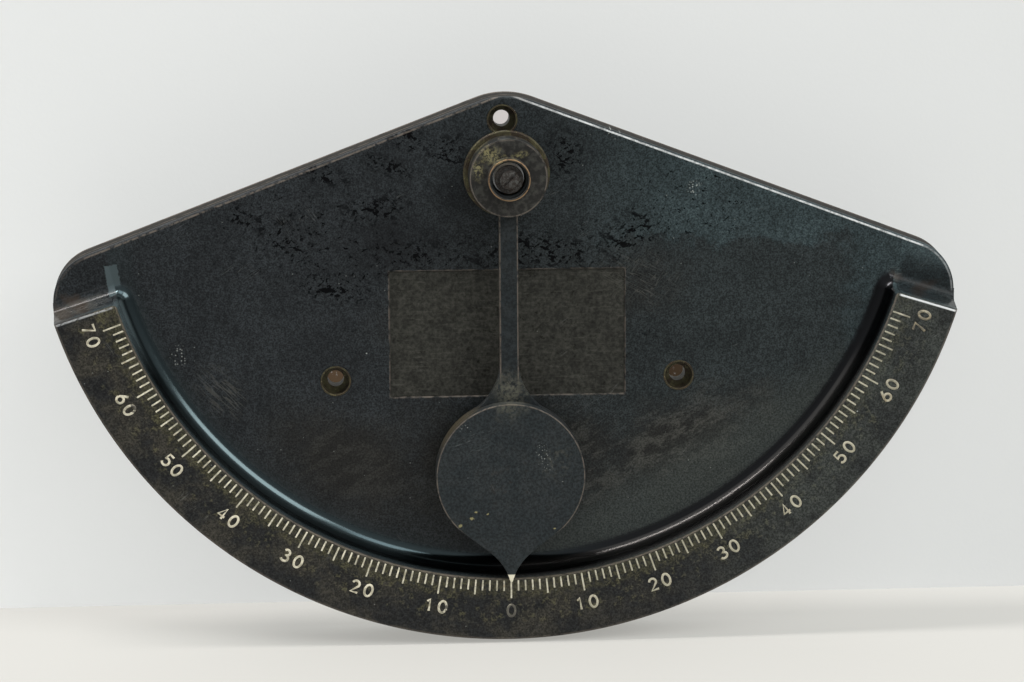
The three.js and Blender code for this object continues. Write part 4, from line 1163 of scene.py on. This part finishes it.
def end_cutter(sizes, side):
    """Takes the rim away beyond one end of the scale, leaving a leaning wall with a fillet at its foot."""
    slack, over = 0.01 * MM, OVERREACH
    lean, fillet, edge = sizes.end_draft, sizes.end_fillet, sizes.edge_round
    top, foot = sizes.scale_height, sizes.face_height - slack + fillet
    centre = edge * (math.sin(lean) - 1) / math.cos(lean)
    points = [(centre, top + over)]
    for i in range(6):
        turn = QUARTER - (QUARTER - lean) * i / 5
        points.append((centre + edge * math.cos(turn), top - edge + edge * math.sin(turn)))
    foot_x = (top - foot) * math.tan(lean) + fillet / math.cos(lean)
    for i in range(11):
        turn = math.pi + lean + (QUARTER - lean) * i / 10
        points.append((foot_x + fillet * math.cos(turn), foot + fillet * math.sin(turn)))
    reach = back_radius(sizes)
    points += [(foot_x, -2 * over), (reach, -2 * over), (reach, top + over)]
    along, out = end_directions(sizes, side)
    inner = sizes.scale_inner - sizes.wall_lean - sizes.cove_radius - over
    line = []
    for beyond, height in points:
        place = along * beyond + out * inner
        line.append((place.x, height, place.z))
    drawn(line).face()
    bpy.ops.mesh.extrude_region_move(TRANSFORM_OT_translate={"value": out * reach})
    outward()
    return settled("end_cutter")


def screw_places(sizes):
    """x and z of the three holes for the bulkhead screws."""
    half = sizes.screw_spacing / 2
    return {"top": (-sizes.top_offset, sizes.top_rise), "left": (-half, -sizes.screw_drop),
            "right": (half, -sizes.screw_drop)}


def post(name, radius, low, high, x=0.0, z=0.0, steps=64):
    """A plain round cutter or boss."""
    return turned(name, [(0, low), (radius, low), (radius, high), (0, high)], steps, x, z)


def back_hollow(sizes, pivot):
    """The moulded hollow of the back, with its bosses and ribs left standing."""
    over = OVERREACH
    cavity = sizes.face_height - sizes.face_thickness
    deep = sizes.scale_height - sizes.face_thickness
    hollow = fan_block("hollow", sizes, sizes.wall, -over, cavity, sizes.edge_round)
    inner, outer = sizes.scale_inner + sizes.wall, back_radius(sizes) - sizes.wall
    channel = turned("channel", [(inner, -2 * over), (inner, deep), (outer - draft_at(sizes, deep), deep),
                                 (outer, -2 * over)], steps=360)
    level = -(outer * math.cos(scale_end(sizes)) + sizes.wall)
    width = 4 * outer
    combine(channel, block("lower", (width, width, width), (0, 0, level - width / 2)), "INTERSECT")
    joined(hollow, channel)
    bosses = [post("boss", sizes.pivot_boss, -3 * over, sizes.face_height)]
    for x, z in screw_places(pivot).values():
        bosses.append(post("boss", sizes.screw_boss, -3 * over, sizes.face_height, x, z))
    reach = back_radius(sizes)
    for x, z in ((0, -1), screw_places(pivot)["left"], screw_places(pivot)["right"]):
        direction = Vector((x, 0, z)).normalized()
        middle = direction * reach / 2
        bosses.append(block("rib", (reach, sizes.scale_height, sizes.rib),
                            (middle.x, sizes.scale_height / 2 + sizes.rib_setback, middle.z),
                            -math.atan2(direction.z, direction.x)))
    return cut(hollow, *bosses)


def panel_cutter(sizes):
    """A shallow rectangle with round corners whose top edge flares out a little."""
    flare, slack = 0.3 * MM, 0.05 * MM
    rest()
    floor = (0, -(sizes.face_height - sizes.panel_depth), -sizes.panel_drop)
    bpy.ops.mesh.primitive_plane_add(size=1, rotation=(QUARTER, 0, 0), location=floor)
    bpy.context.object.scale = (sizes.panel_width - 2 * flare, sizes.panel_height - 2 * flare, 1)
    bpy.ops.object.transform_apply(location=True, rotation=True, scale=True)
    bpy.ops.object.mode_set(mode="EDIT")
    bpy.ops.mesh.select_all(action="SELECT")
    bpy.ops.mesh.bevel(offset=0.8 * MM, segments=4, affect="VERTICES")
    bpy.ops.mesh.select_all(action="SELECT")
    pull(0, sizes.panel_depth - flare, 0)
    bpy.ops.mesh.inset(thickness=flare + slack, depth=flare + slack, use_outset=True)
    pull(0, 2 * MM, 0)
    outward()
    return settled("panel")


class CLINOMETER_OT_case(bpy.types.Operator):
    """Model the moulded case: fan, dished face, cove, raised rim and ribbed back"""
    bl_idname = "clinometer.case"
    bl_label = "Case"

    def execute(self, context):
        sizes, pivot = context.scene.clinometer_case, context.scene.clinometer_pivot
        hair = 0.03 * MM
        case = fan_block("case_shell", sizes, hair, 0, sizes.face_height, sizes.edge_round)
        rim = fan_block("rim_block", sizes, 0, hair, sizes.scale_height, sizes.edge_round)
        combine(rim, dish_ring(sizes), "INTERSECT")
        end = scale_end(sizes)
        foot = sizes.scale_inner - sizes.wall_lean - sizes.cove_radius
        width = 4 * back_radius(sizes)
        upper = block("upper", (width, width, width), (0, 0, width / 2 + 10 * MM - foot * math.cos(end)))
        cut(rim, end_cutter(sizes, 1), end_cutter(sizes, -1), upper, corner_cutter(sizes, 1),
            corner_cutter(sizes, -1))
        joined(case, rim)
        cut(case, back_hollow(sizes, pivot), panel_cutter(sizes))
        for x, z in screw_places(pivot).values():
            cut(case, post("hole", sizes.hole, -5 * MM, sizes.face_height + 5 * MM, x, z))
        cut(case, post("insert_hole", sizes.insert_hole, sizes.insert_floor, sizes.face_height + 5 * MM))
        smooth(case)
        dressed(case, phenolic(context.scene.clinometer_finish, sizes), "case", "phenolic", "case")
        return {"FINISHED"}


# Fixed fittings.

class CLINOMETER_OT_bushes(bpy.types.Operator):
    """Model the three brass bushes of the bulkhead screws"""
    bl_idname = "clinometer.bushes"
    bl_label = "Screw bushes"

    def execute(self, context):
        pivot, case = context.scene.clinometer_pivot, context.scene.clinometer_case
        seat = case.face_height - pivot.bush_depth
        finish = old_brass(context.scene.clinometer_finish, "bush_brass", 0.35)
        profile = [(pivot.bush_bore, pivot.bush_setback), (pivot.bush_radius, pivot.bush_setback),
                   (pivot.bush_radius, case.face_height), (pivot.bush_seat, case.face_height),
                   (pivot.bush_seat, seat), (pivot.bush_bore, seat)]
        first = rounded(turned("bush", profile, steps=72), EDGE_BREAK, 2)
        smooth(first)
        for side, (x, z) in screw_places(pivot).items():
            pick(first)
            bpy.ops.object.duplicate()
            bpy.ops.transform.translate(value=(x, 0, z))
            bush = settled(f"{side}_bush")
            dressed(bush, finish, "case", "bush_brass", f"{side}_screw_bush")
        bpy.data.objects.remove(first)
        return {"FINISHED"}


class CLINOMETER_OT_backplate(bpy.types.Operator):
    """Model the round brass plate under the hub"""
    bl_idname = "clinometer.backplate"
    bl_label = "Pivot backplate"

    def execute(self, context):
        pivot, case = context.scene.clinometer_pivot, context.scene.clinometer_case
        low, high = case.face_height, case.face_height + pivot.backplate_thickness
        chamfer = pivot.backplate_thickness / 4
        bore, radius = pivot.backplate_bore, pivot.backplate_radius
        plate = turned("backplate", [(bore, low), (radius, low), (radius, high - chamfer),
                                     (radius - chamfer, high), (bore, high)], steps=160)
        smooth(rounded(plate, EDGE_BREAK, 2, 30))
        dressed(plate, old_brass(context.scene.clinometer_finish, "backplate_brass", 0.6), "case",
                "backplate_brass", "pivot_backplate")
        return {"FINISHED"}


class CLINOMETER_OT_hub(bpy.types.Operator):
    """Model the hub's rear housing and its front cap with the thin collar"""
    bl_idname = "clinometer.hub"
    bl_label = "Hub"

    def execute(self, context):
        pivot, case = context.scene.clinometer_pivot, context.scene.clinometer_case
        arm = context.scene.clinometer_pendulum
        finish = hub_brass(context.scene.clinometer_finish)
        back = case.face_height + pivot.backplate_thickness + pivot.hub_gap
        shelf = arm.arm_back - pivot.seat_gap
        arm_front = arm.arm_back + arm.arm_thickness
        floor = pivot.bearing_back - pivot.seat_gap
        chamfer = case.edge_round / 2
        housing = turned("housing", [
            (pivot.hub_bore, back), (pivot.hub_radius - chamfer, back), (pivot.hub_radius, back + chamfer),
            (pivot.hub_radius, shelf), (pivot.neck_radius, shelf), (pivot.neck_radius, arm_front),
            (pivot.bearing_seat, arm_front), (pivot.bearing_seat, floor), (pivot.hub_bore, floor)], steps=160)
        smooth(rounded(housing, EDGE_BREAK, 2, 30))
        dressed(housing, finish, "pendulum", "hub_brass", "hub_housing")
        cap_back = arm_front + pivot.seat_gap
        front = cap_back + pivot.cap_disc
        top = front + pivot.collar_height
        lip = pivot.bearing_front + pivot.seat_gap
        inner = pivot.collar_radius - pivot.collar_wall
        pocket = top - pivot.collar_pocket
        cap = turned("cap", [
            (pivot.cap_bore, lip), (pivot.bearing_seat, lip), (pivot.bearing_seat, cap_back),
            (pivot.hub_radius, cap_back), (pivot.hub_radius, front), (pivot.collar_radius, front),
            (pivot.collar_radius, top), (inner, top), (inner, pocket), (pivot.cap_bore, pocket)], steps=160)
        smooth(rounded(cap, 0.22 * MM, 3, 30))
        dressed(cap, finish, "pendulum", "hub_brass", "hub_cap")
        return {"FINISHED"}


class CLINOMETER_OT_pivot_screw(bpy.types.Operator):
    """Model the slotted pivot screw and its washer"""
    bl_idname = "clinometer.pivot_screw"
    bl_label = "Pivot screw"

    def execute(self, context):
        pivot = context.scene.clinometer_pivot
        finish = dark_steel(context.scene.clinometer_finish)
        bore = pivot.shank_radius + CLEARANCE
        low, high = pivot.washer_back, pivot.washer_back + pivot.washer_thickness
        washer = turned("washer", [(bore, low), (pivot.washer_radius, low), (pivot.washer_radius, high),
                                   (bore, high)], steps=96)
        smooth(rounded(washer, 0.14 * MM, 3, 30))
        dressed(washer, finish, "case", "dark_steel", "retaining_washer")
        under = high + pivot.seat_gap
        top = under + pivot.head_height
        crown, head = pivot.head_height / 6, pivot.head_radius
        screw = turned("screw", [
            (0, pivot.shank_back), (pivot.shank_radius, pivot.shank_back), (pivot.shank_radius, under),
            (head, under), (head, top - 2 * crown), (head * 0.93, top - crown),
            (head * 0.75, top - crown / 3), (head * 0.4, top), (0, top)], steps=96)
        rounded(screw, 0.1 * MM, 2, 50)
        slot_size = (4 * head, 2 * pivot.slot_depth, pivot.slot_width)
        slot = block("slot", slot_size, (0, top, 0), -pivot.slot_turn)
        cut(screw, slot)
        smooth(rounded(screw, 0.05 * MM, 2, 60))
        dressed(screw, finish, "case", "dark_steel", "pivot_screw")
        return {"FINISHED"}


# The pendulum.

def bob_screw_places(sizes):
    """x and z of the three screws in the bob's back."""
    circle = sizes.screw_circle
    turns = [FULL_TURN * i / 3 for i in range(3)]
    return [(circle * math.sin(turn), circle * math.cos(turn) - sizes.bob_drop) for turn in turns]


class CLINOMETER_OT_arm(bpy.types.Operator):
    """Model the flat arm with its eye, its flare and the round tail behind the bob"""
    bl_idname = "clinometer.arm"
    bl_label = "Pendulum arm"

    def execute(self, context):
        sizes, pivot = context.scene.clinometer_pendulum, context.scene.clinometer_pivot
        half, eye, flare = sizes.arm_width / 2, pivot.hub_radius, sizes.flare
        eye_turn = math.asin(half / eye)
        flare_x = half + flare
        flare_z = math.sqrt((sizes.bob_radius + flare) ** 2 - flare_x ** 2) - sizes.bob_drop
        tail_turn = math.atan2(flare_z + sizes.bob_drop, flare_x)
        pen = Pen(half, sizes.arm_back, -eye * math.cos(eye_turn))
        pen.to(half, sizes.arm_back, flare_z)
        pen.arc(flare_x, flare_z, tail_turn, 20)
        pen.arc(0, -sizes.bob_drop, -(math.pi + 2 * tail_turn), 110)
        pen.arc(-flare_x, flare_z, tail_turn, 20)
        pen.to(-half, sizes.arm_back, -eye * math.cos(eye_turn))
        pen.arc(0, 0, -(FULL_TURN - 2 * eye_turn), 110)
        pen.front_face()
        pull(0, sizes.arm_thickness, 0)
        outward()
        arm = settled("arm")
        high, low = sizes.arm_back + 5 * MM, sizes.arm_back - 5 * MM
        cut(arm, post("eye", sizes.eye_bore, low, high, steps=128))
        for x, z in bob_screw_places(sizes):
            cut(arm, post("hole", sizes.screw_radius + CLEARANCE, low, high, x, z, 32))
        smooth(rounded(arm, sizes.edge_round, 3, 60))
        dressed(arm, slate_brass(context.scene.clinometer_finish, "arm_finish", "arm"), "pendulum",
                "pendulum_brass", "pendulum_arm")
        return {"FINISHED"}


class CLINOMETER_OT_bob(bpy.types.Operator):
    """Model the drop-shaped front plate of the bob, its back plate and the three screws behind"""
    bl_idname = "clinometer.bob"
    bl_label = "Bob"

    def execute(self, context):
        sizes, pivot = context.scene.clinometer_pendulum, context.scene.clinometer_pivot
        finishes = context.scene.clinometer_finish
        back = sizes.arm_back + sizes.arm_thickness + pivot.seat_gap
        front = back + sizes.front_thickness
        self.front_plate(sizes, finishes, back, front)
        back_front = sizes.arm_back - pivot.seat_gap
        back_back = back_front - sizes.back_thickness
        self.back_plate(sizes, finishes, back_back, back_front)
        self.screws(sizes, pivot, finishes, back_back, back + sizes.screw_reach)
        return {"FINISHED"}

    def front_plate(self, sizes, finishes, back, front):
        radius, drop, root = sizes.bob_radius, sizes.bob_drop, sizes.pointer_root
        span = sizes.reach - drop
        widths, drops = (0.362, 0.142, 0.055, 0.014), (0.674, 0.783, 0.918, 1)
        neck, bend, point, tip = [(w * radius, -drop - d * span) for w, d in zip(widths, drops)]
        side = [neck]
        for i in range(1, 13):
            t = i / 12
            side.append(tuple((1 - t) ** 2 * a + 2 * t * (1 - t) * b + t * t * c
                              for a, b, c in zip(neck, bend, point)))
        side.append(tip)
        pen = Pen(radius * math.sin(root), back, -drop - radius * math.cos(root))
        pen.arc(0, -drop, FULL_TURN - 2 * root, 140)
        for x, z in side:
            pen.to(-x, back, z)
        for x, z in reversed(side):
            pen.to(x, back, z)
        pen.to(radius * math.sin(root), back, -drop - radius * math.cos(root))
        pen.front_face()
        pull(0, front - back, 0)
        outward()
        plate = settled("bob_front")
        thin, over = front - sizes.pointer_thickness, 2 * MM
        start, end = sizes.bevel_start - over, sizes.bevel_end
        slope = (thin - back) / (sizes.bevel_end - sizes.bevel_start)
        past = -sizes.reach - over
        wedge = ((back - over, -start), (back - over * slope, -start), (thin, -end), (thin, past),
                 (back - over, past))
        drawn([(-radius, height, z) for height, z in wedge]).face()
        pull(2 * radius, 0, 0)
        outward()
        cut(plate, settled("wedge"))
        for x, z in bob_screw_places(sizes):
            cut(plate, post("hole", sizes.screw_radius + CLEARANCE, back - over,
                            back + sizes.screw_reach + CLEARANCE, x, z, 32))
        smooth(rounded(plate, sizes.edge_round, 3, 50))
        dressed(plate, slate_brass(finishes, "bob_finish", "bob"), "pendulum", "pendulum_brass",
                "bob_front_plate")

    def back_plate(self, sizes, finishes, low, high):
        radius, chamfer = sizes.bob_radius, sizes.back_thickness / 2
        plate = turned("bob_back", [(0, low), (radius - chamfer, low), (radius, low + chamfer),
                                    (radius, high), (0, high)], 128, 0, -sizes.bob_drop)
        over, shank, head = 2 * MM, sizes.screw_radius + CLEARANCE, sizes.screw_head + CLEARANCE
        for x, z in bob_screw_places(sizes):
            cut(plate, turned("sink", [(0, low - over), (head, low - over), (head, low),
                                       (shank, low + sizes.screw_head_height), (shank, high + over),
                                       (0, high + over)], 48, x, z))
        smooth(rounded(plate, EDGE_BREAK, 2, 30))
        dressed(plate, slate_brass(finishes, "bob_back_finish", "back"), "pendulum", "pendulum_brass",
                "bob_back_plate")

    def screws(self, sizes, pivot, finishes, low, end):
        finish = dark_steel(finishes, "bob_screw_steel")
        for i, (x, z) in enumerate(bob_screw_places(sizes), 1):
            screw = turned(f"bob_screw_piece_{i}", [
                (0, low), (sizes.screw_head, low), (sizes.screw_radius, low + sizes.screw_head_height),
                (sizes.screw_radius, end), (0, end)], 48, x, z)
            turn = math.radians(25 + 70 * i)
            slot = block("slot", (4 * sizes.screw_head, sizes.screw_head_height, pivot.slot_width / 2),
                         (x, low, z), turn)
            cut(screw, slot)
            smooth(rounded(screw, 0.06 * MM, 2, 40))
            dressed(screw, finish, "pendulum", "dark_steel", f"bob_screw_{i}")


# Filled marks and numbers of the scale.

def merged(name, things):
    """Several objects as one."""
    rest()
    for thing in things:
        thing.select_set(True)
    bpy.context.view_layer.objects.active = things[0]
    bpy.ops.object.join()
    whole = bpy.context.object
    whole.name = whole.data.name = name
    return whole


def scale_point(radius, degree):
    """x and z of a point of the scale, in degrees from straight down."""
    turn = math.radians(degree)
    return radius * math.sin(turn), -radius * math.cos(turn)


class CLINOMETER_OT_ticks(bpy.types.Operator):
    """Model the filled degree marks of the scale"""
    bl_idname = "clinometer.ticks"
    bl_label = "Degree marks"

    def execute(self, context):
        marks, case = context.scene.clinometer_scale, context.scene.clinometer_case
        groups = []
        for offset in range(10):
            size = {0: marks.tick_long, 5: marks.tick_middle}.get(offset, marks.tick_short)
            first = offset - marks.half_range
            copies = 2 * marks.half_range // 10 - (0 if offset == 0 else 1)
            groups.append(self.group(marks, case, first, size, copies))
        ticks = merged("scale_ticks", groups)
        smooth(ticks, 60)
        dressed(ticks, scale_paint(context.scene.clinometer_finish, "tick_paint"), "case")
        return {"FINISHED"}

    def group(self, marks, case, degree, size, copies):
        """One mark, spun into its copies every ten degrees."""
        x, z = scale_point(marks.tick_inner + size / 2, degree)
        depth = 0.4 * MM
        rest()
        middle = depth / 2 - case.scale_height - marks.fill_proud
        bpy.ops.mesh.primitive_cube_add(size=1, location=(x, middle, z),
                                        rotation=(0, -math.radians(degree), 0))
        bpy.context.object.scale = (marks.tick_width, depth, size)
        bpy.ops.object.transform_apply(location=True, rotation=True, scale=True)
        bpy.ops.object.mode_set(mode="EDIT")
        bpy.ops.mesh.select_all(action="SELECT")
        bpy.ops.mesh.bevel(offset=marks.tick_width * 0.28, segments=2, affect="EDGES")
        bpy.ops.mesh.select_all(action="SELECT")
        bpy.ops.mesh.spin(steps=copies, angle=math.radians(10 * copies), dupli=True, center=(0, 0, 0),
                          axis=(0, 1, 0))
        return settled(f"ticks_{degree}")


def bow(x, z, wide, high, start, end, steps=10):
    """Points along part of an ellipse, for a digit's stroke. Angles are in degrees."""
    turns = [math.radians(start + (end - start) * i / steps) for i in range(steps + 1)]
    return [(x + wide * math.cos(t), z + high * math.sin(t)) for t in turns]


DIGITS = {
    "0": [bow(0.32, 0.5, 0.32, 0.5, 90, 450, 20)],
    "1": [[(0.14, 0.80), (0.36, 1.0), (0.36, 0.0)]],
    "2": [bow(0.31, 0.71, 0.29, 0.29, 165, -28, 9) + [(0.03, 0.0), (0.64, 0.0)]],
    "3": [bow(0.29, 0.75, 0.26, 0.25, 150, -90, 9) + bow(0.30, 0.26, 0.31, 0.26, 84, -155, 11)],
    "4": [[(0.66, 0.27), (0.02, 0.27), (0.47, 1.0), (0.47, 0.0)]],
    "5": [[(0.57, 1.0), (0.12, 1.0), (0.07, 0.53)] + bow(0.30, 0.31, 0.31, 0.31, 118, -150, 12)],
    "6": [[(0.50, 1.0), (0.22, 0.66), (0.05, 0.42)] + bow(0.32, 0.30, 0.30, 0.30, 170, 530, 18)],
    "7": [[(0.02, 1.0), (0.62, 1.0), (0.22, 0.0)]],
}
DIGIT_WIDTH = 0.64


class CLINOMETER_OT_numbers(bpy.types.Operator):
    """Model the filled numbers of the scale, stroke by stroke"""
    bl_idname = "clinometer.numbers"
    bl_label = "Numbers"

    def execute(self, context):
        marks = context.scene.clinometer_scale
        strokes = []
        for tens in range(-marks.half_range // 10, marks.half_range // 10 + 1):
            text = str(abs(tens) * 10)
            for i, digit in enumerate(text):
                shift = (i - (len(text) - 1) / 2) * marks.number_gap
                strokes += self.digit(context, digit, tens * 10, shift)
        numbers = merged("scale_numbers", strokes)
        smooth(numbers, 60)
        dressed(numbers, scale_paint(context.scene.clinometer_finish, "number_paint"), "case")
        return {"FINISHED"}

    def digit(self, context, digit, degree, shift):
        """Draws one digit flat on the scale, its top towards the pivot."""
        marks, case = context.scene.clinometer_scale, context.scene.clinometer_case
        turn = math.radians(degree)
        across = Vector((math.cos(turn), 0, math.sin(turn)))
        up = Vector((-math.sin(turn), 0, math.cos(turn)))
        x, z = scale_point(marks.number_radius, degree)
        middle = Vector((x, 0, z)) + across * shift
        made = []
        for line in DIGITS[digit]:
            places = []
            for u, v in line:
                place = middle + across * (u - DIGIT_WIDTH / 2) * marks.number_height
                places.append(place + up * (v - 0.5) * marks.number_height)
            drawn([(place.x, case.scale_height, place.z) for place in places]).close()
            bpy.ops.object.mode_set(mode="OBJECT")
            made.append(self.stroke(marks, case))
        return made

    def stroke(self, marks, case):
        """Turns a drawn line into a flat bead of paint."""
        bpy.ops.object.transform_apply(location=True, rotation=True, scale=True)
        bpy.ops.object.convert(target="CURVE")
        curve = bpy.context.object
        curve.data.bevel_depth = marks.stroke / 2
        curve.data.bevel_resolution = 2
        curve.data.use_fill_caps = True
        bpy.ops.object.convert(target="MESH")
        bpy.ops.object.mode_set(mode="EDIT")
        bpy.ops.mesh.select_all(action="SELECT")
        bpy.ops.transform.resize(value=(1, 0.3, 1), center_override=(0, -case.scale_height, 0))
        outward()
        return settled("stroke")


# Pieces whose own solid is right, with a finish of their own.

class CLINOMETER_OT_inner_parts(bpy.types.Operator):
    """Finish the insert, stud, spacer and ball bearing"""
    bl_idname = "clinometer.inner_parts"
    bl_label = "Inner parts"

    def execute(self, context):
        finishes = context.scene.clinometer_finish
        brass = turned_brass(finishes)
        steel = bearing_steel(finishes)
        stud = dark_steel(finishes, "stud_steel")
        for name, thing in frame["nodes"].items():
            if thing.hide_render:
                continue
            slot = next(s["material_slot"] for s in frame["record"]["subparts"] if s["node"] == name)
            finish = {"inner_brass": brass, "bearing_steel": steel, "dark_steel": stud}[slot]
            for i in range(len(thing.material_slots)):
                thing.material_slots[i].material = finish
        return {"FINISHED"}


# The studio.

# Name, place, length and width, and tint of each lamp.
LAMPS = (
    ("key_light", (1.13, -0.93, 0.92), (0.75, 0.75), (1.0, 0.99, 0.97)),
    ("top_light", (0.45, -0.80, 1.25), (0.55, 0.55), (0.93, 0.98, 1.0)),
    ("fill_light", (-0.60, -0.13, 1.20), (0.95, 0.20), (1.0, 0.96, 0.94)),
)
LAMP_TARGET = Vector((0, 0, -0.06))
ROOM_TINT = (0.97, 0.985, 1.0, 1)
CAMERA_PLACE = (-0.05997222, -1.06373576, 0.13930686)
CAMERA_TURN = (1.38566276, 0.00657087, -0.05968653)
CAMERA_LENS, CAMERA_SENSOR, CAMERA_NEAREST = 110.04, 36, 0.01


class CLINOMETER_OT_studio(bpy.types.Operator):
    """Set up the pale wall and floor, the soft lights and the camera"""
    bl_idname = "clinometer.studio"
    bl_label = "Studio"

    def execute(self, context):
        studio = context.scene.clinometer_studio
        brown = list(context.scene.clinometer_finish.hole_shadow_brown)
        pink = list(context.scene.clinometer_finish.hole_shade_pink)
        # Painted shadow: patches of shade on the wall, seen through the screw holes.
        shades = [(brown, [(-58.9, -77.5, 8, 8)]), (tinted(brown, 0.55), [(62.7, -77.5, 8, 8)]),
                  (pink, [(0.5, 14.4, 4.8, 4.8)])]
        width = studio.room_width
        self.sheet("studio_floor", (0, 0, -studio.floor_drop), 0, width,
                   room_paint("floor_paint", studio.floor_colour, studio.floor_seen, fades_to_shade=True))
        self.sheet("studio_wall", (0, studio.wall_distance, width / 2 - studio.floor_drop), QUARTER, width,
                   room_paint("wall_paint", studio.wall_colour, studio.wall_seen, shades))
        powers = {"key_light": studio.key_power, "top_light": studio.top_power,
                  "fill_light": studio.fill_power}
        for name, place, size, tint in LAMPS:
            self.lamp(name, place, powers[name], size, tint)
        self.room_light(context.scene, studio.sky, studio.sky_low)
        self.camera(context.scene)
        context.scene.view_settings.view_transform = "Standard"
        return {"FINISHED"}

    def sheet(self, name, place, turn, width, finish):
        """A broad plane, divided so that it isn't one bare face."""
        rest()
        bpy.ops.mesh.primitive_grid_add(x_subdivisions=8, y_subdivisions=8, size=width, location=place,
                                        rotation=(turn, 0, 0))
        thing = settled(name)
        thing.data.materials.append(finish)

    def lamp(self, name, place, power, size, tint):
        """A soft oblong light on the instrument, its length along the arc of the scale."""
        rest()
        bpy.ops.object.light_add(type="AREA", location=place)
        lamp = bpy.context.object
        lamp.name = lamp.data.name = name
        lamp.data.shape = "RECTANGLE"
        lamp.data.size, lamp.data.size_y = size
        lamp.data.energy, lamp.data.color = power, tint
        away = (lamp.location - LAMP_TARGET).normalized()
        along = Vector((place[2], 0, -place[0]))
        along = (along - away * along.dot(away)).normalized()
        lamp.rotation_euler = Matrix((along, away.cross(along), away)).transposed().to_euler()

    def room_light(self, scene, high, low):
        """Even light from above, weak from below and stronger behind the wall."""
        world = bpy.data.worlds.new("room")
        scene.world = world
        world.use_nodes = True
        tree = world.node_tree
        place = tree.nodes.new("ShaderNodeTexCoord")
        parts = tree.nodes.new("ShaderNodeSeparateXYZ")
        tree.links.new(place.outputs["Generated"], parts.inputs[0])
        eased = []
        for axis, values in (("Z", (-0.15, 0.45, low, high)), ("Y", (0.1, 0.8, 1.0, 1.6))):
            ease = tree.nodes.new("ShaderNodeMapRange")
            tree.links.new(parts.outputs[axis], ease.inputs["Value"])
            for key, value in zip(("From Min", "From Max", "To Min", "To Max"), values):
                ease.inputs[key].default_value = value
            eased.append(ease.outputs["Result"])
        whole = tree.nodes.new("ShaderNodeMath")
        whole.operation = "MULTIPLY"
        for value, socket in zip(eased, whole.inputs):
            tree.links.new(value, socket)
        back = tree.nodes["Background"]
        back.inputs["Color"].default_value = ROOM_TINT
        tree.links.new(whole.outputs["Value"], back.inputs["Strength"])

    def camera(self, scene):
        rest()
        bpy.ops.object.camera_add(location=CAMERA_PLACE, rotation=CAMERA_TURN)
        camera = bpy.context.object
        camera.name = camera.data.name = "main_camera"
        camera.data.lens, camera.data.sensor_width = CAMERA_LENS, CAMERA_SENSOR
        camera.data.clip_start = CAMERA_NEAREST
        scene.camera = camera


# The add-on.

PIECES = (
    CLINOMETER_OT_case, CLINOMETER_OT_ticks, CLINOMETER_OT_numbers, CLINOMETER_OT_bushes,
    CLINOMETER_OT_backplate, CLINOMETER_OT_hub, CLINOMETER_OT_pivot_screw, CLINOMETER_OT_arm,
    CLINOMETER_OT_bob, CLINOMETER_OT_inner_parts, CLINOMETER_OT_studio,
)

SETTINGS = {
    "clinometer_case": ClinometerCaseSizes, "clinometer_scale": ClinometerScaleSizes,
    "clinometer_pivot": ClinometerPivotSizes, "clinometer_pendulum": ClinometerPendulumSizes,
    "clinometer_finish": ClinometerFinish, "clinometer_studio": ClinometerStudio,
}


class CLINOMETER_PT_panel(bpy.types.Panel):
    """Buttons for every piece"""
    bl_idname = "CLINOMETER_PT_panel"
    bl_label = "Clinometer"
    bl_space_type = "VIEW_3D"
    bl_region_type = "UI"
    bl_category = "Clinometer"

    def draw(self, context):
        for piece in PIECES:
            self.layout.operator(piece.bl_idname)


def register():
    for name, group in SETTINGS.items():
        bpy.utils.register_class(group)
        setattr(bpy.types.Scene, name, bpy.props.PointerProperty(type=group))
    for piece in PIECES:
        bpy.utils.register_class(piece)
    bpy.utils.register_class(CLINOMETER_PT_panel)


def unregister():
    bpy.utils.unregister_class(CLINOMETER_PT_panel)
    for piece in reversed(PIECES):
        bpy.utils.unregister_class(piece)
    for name, group in SETTINGS.items():
        delattr(bpy.types.Scene, name)
        bpy.utils.unregister_class(group)


def main():
    register()
    for piece in PIECES:
        group, name = piece.bl_idname.split(".")
        getattr(getattr(bpy.ops, group), name)()


if __name__ == "__main__":
    main()
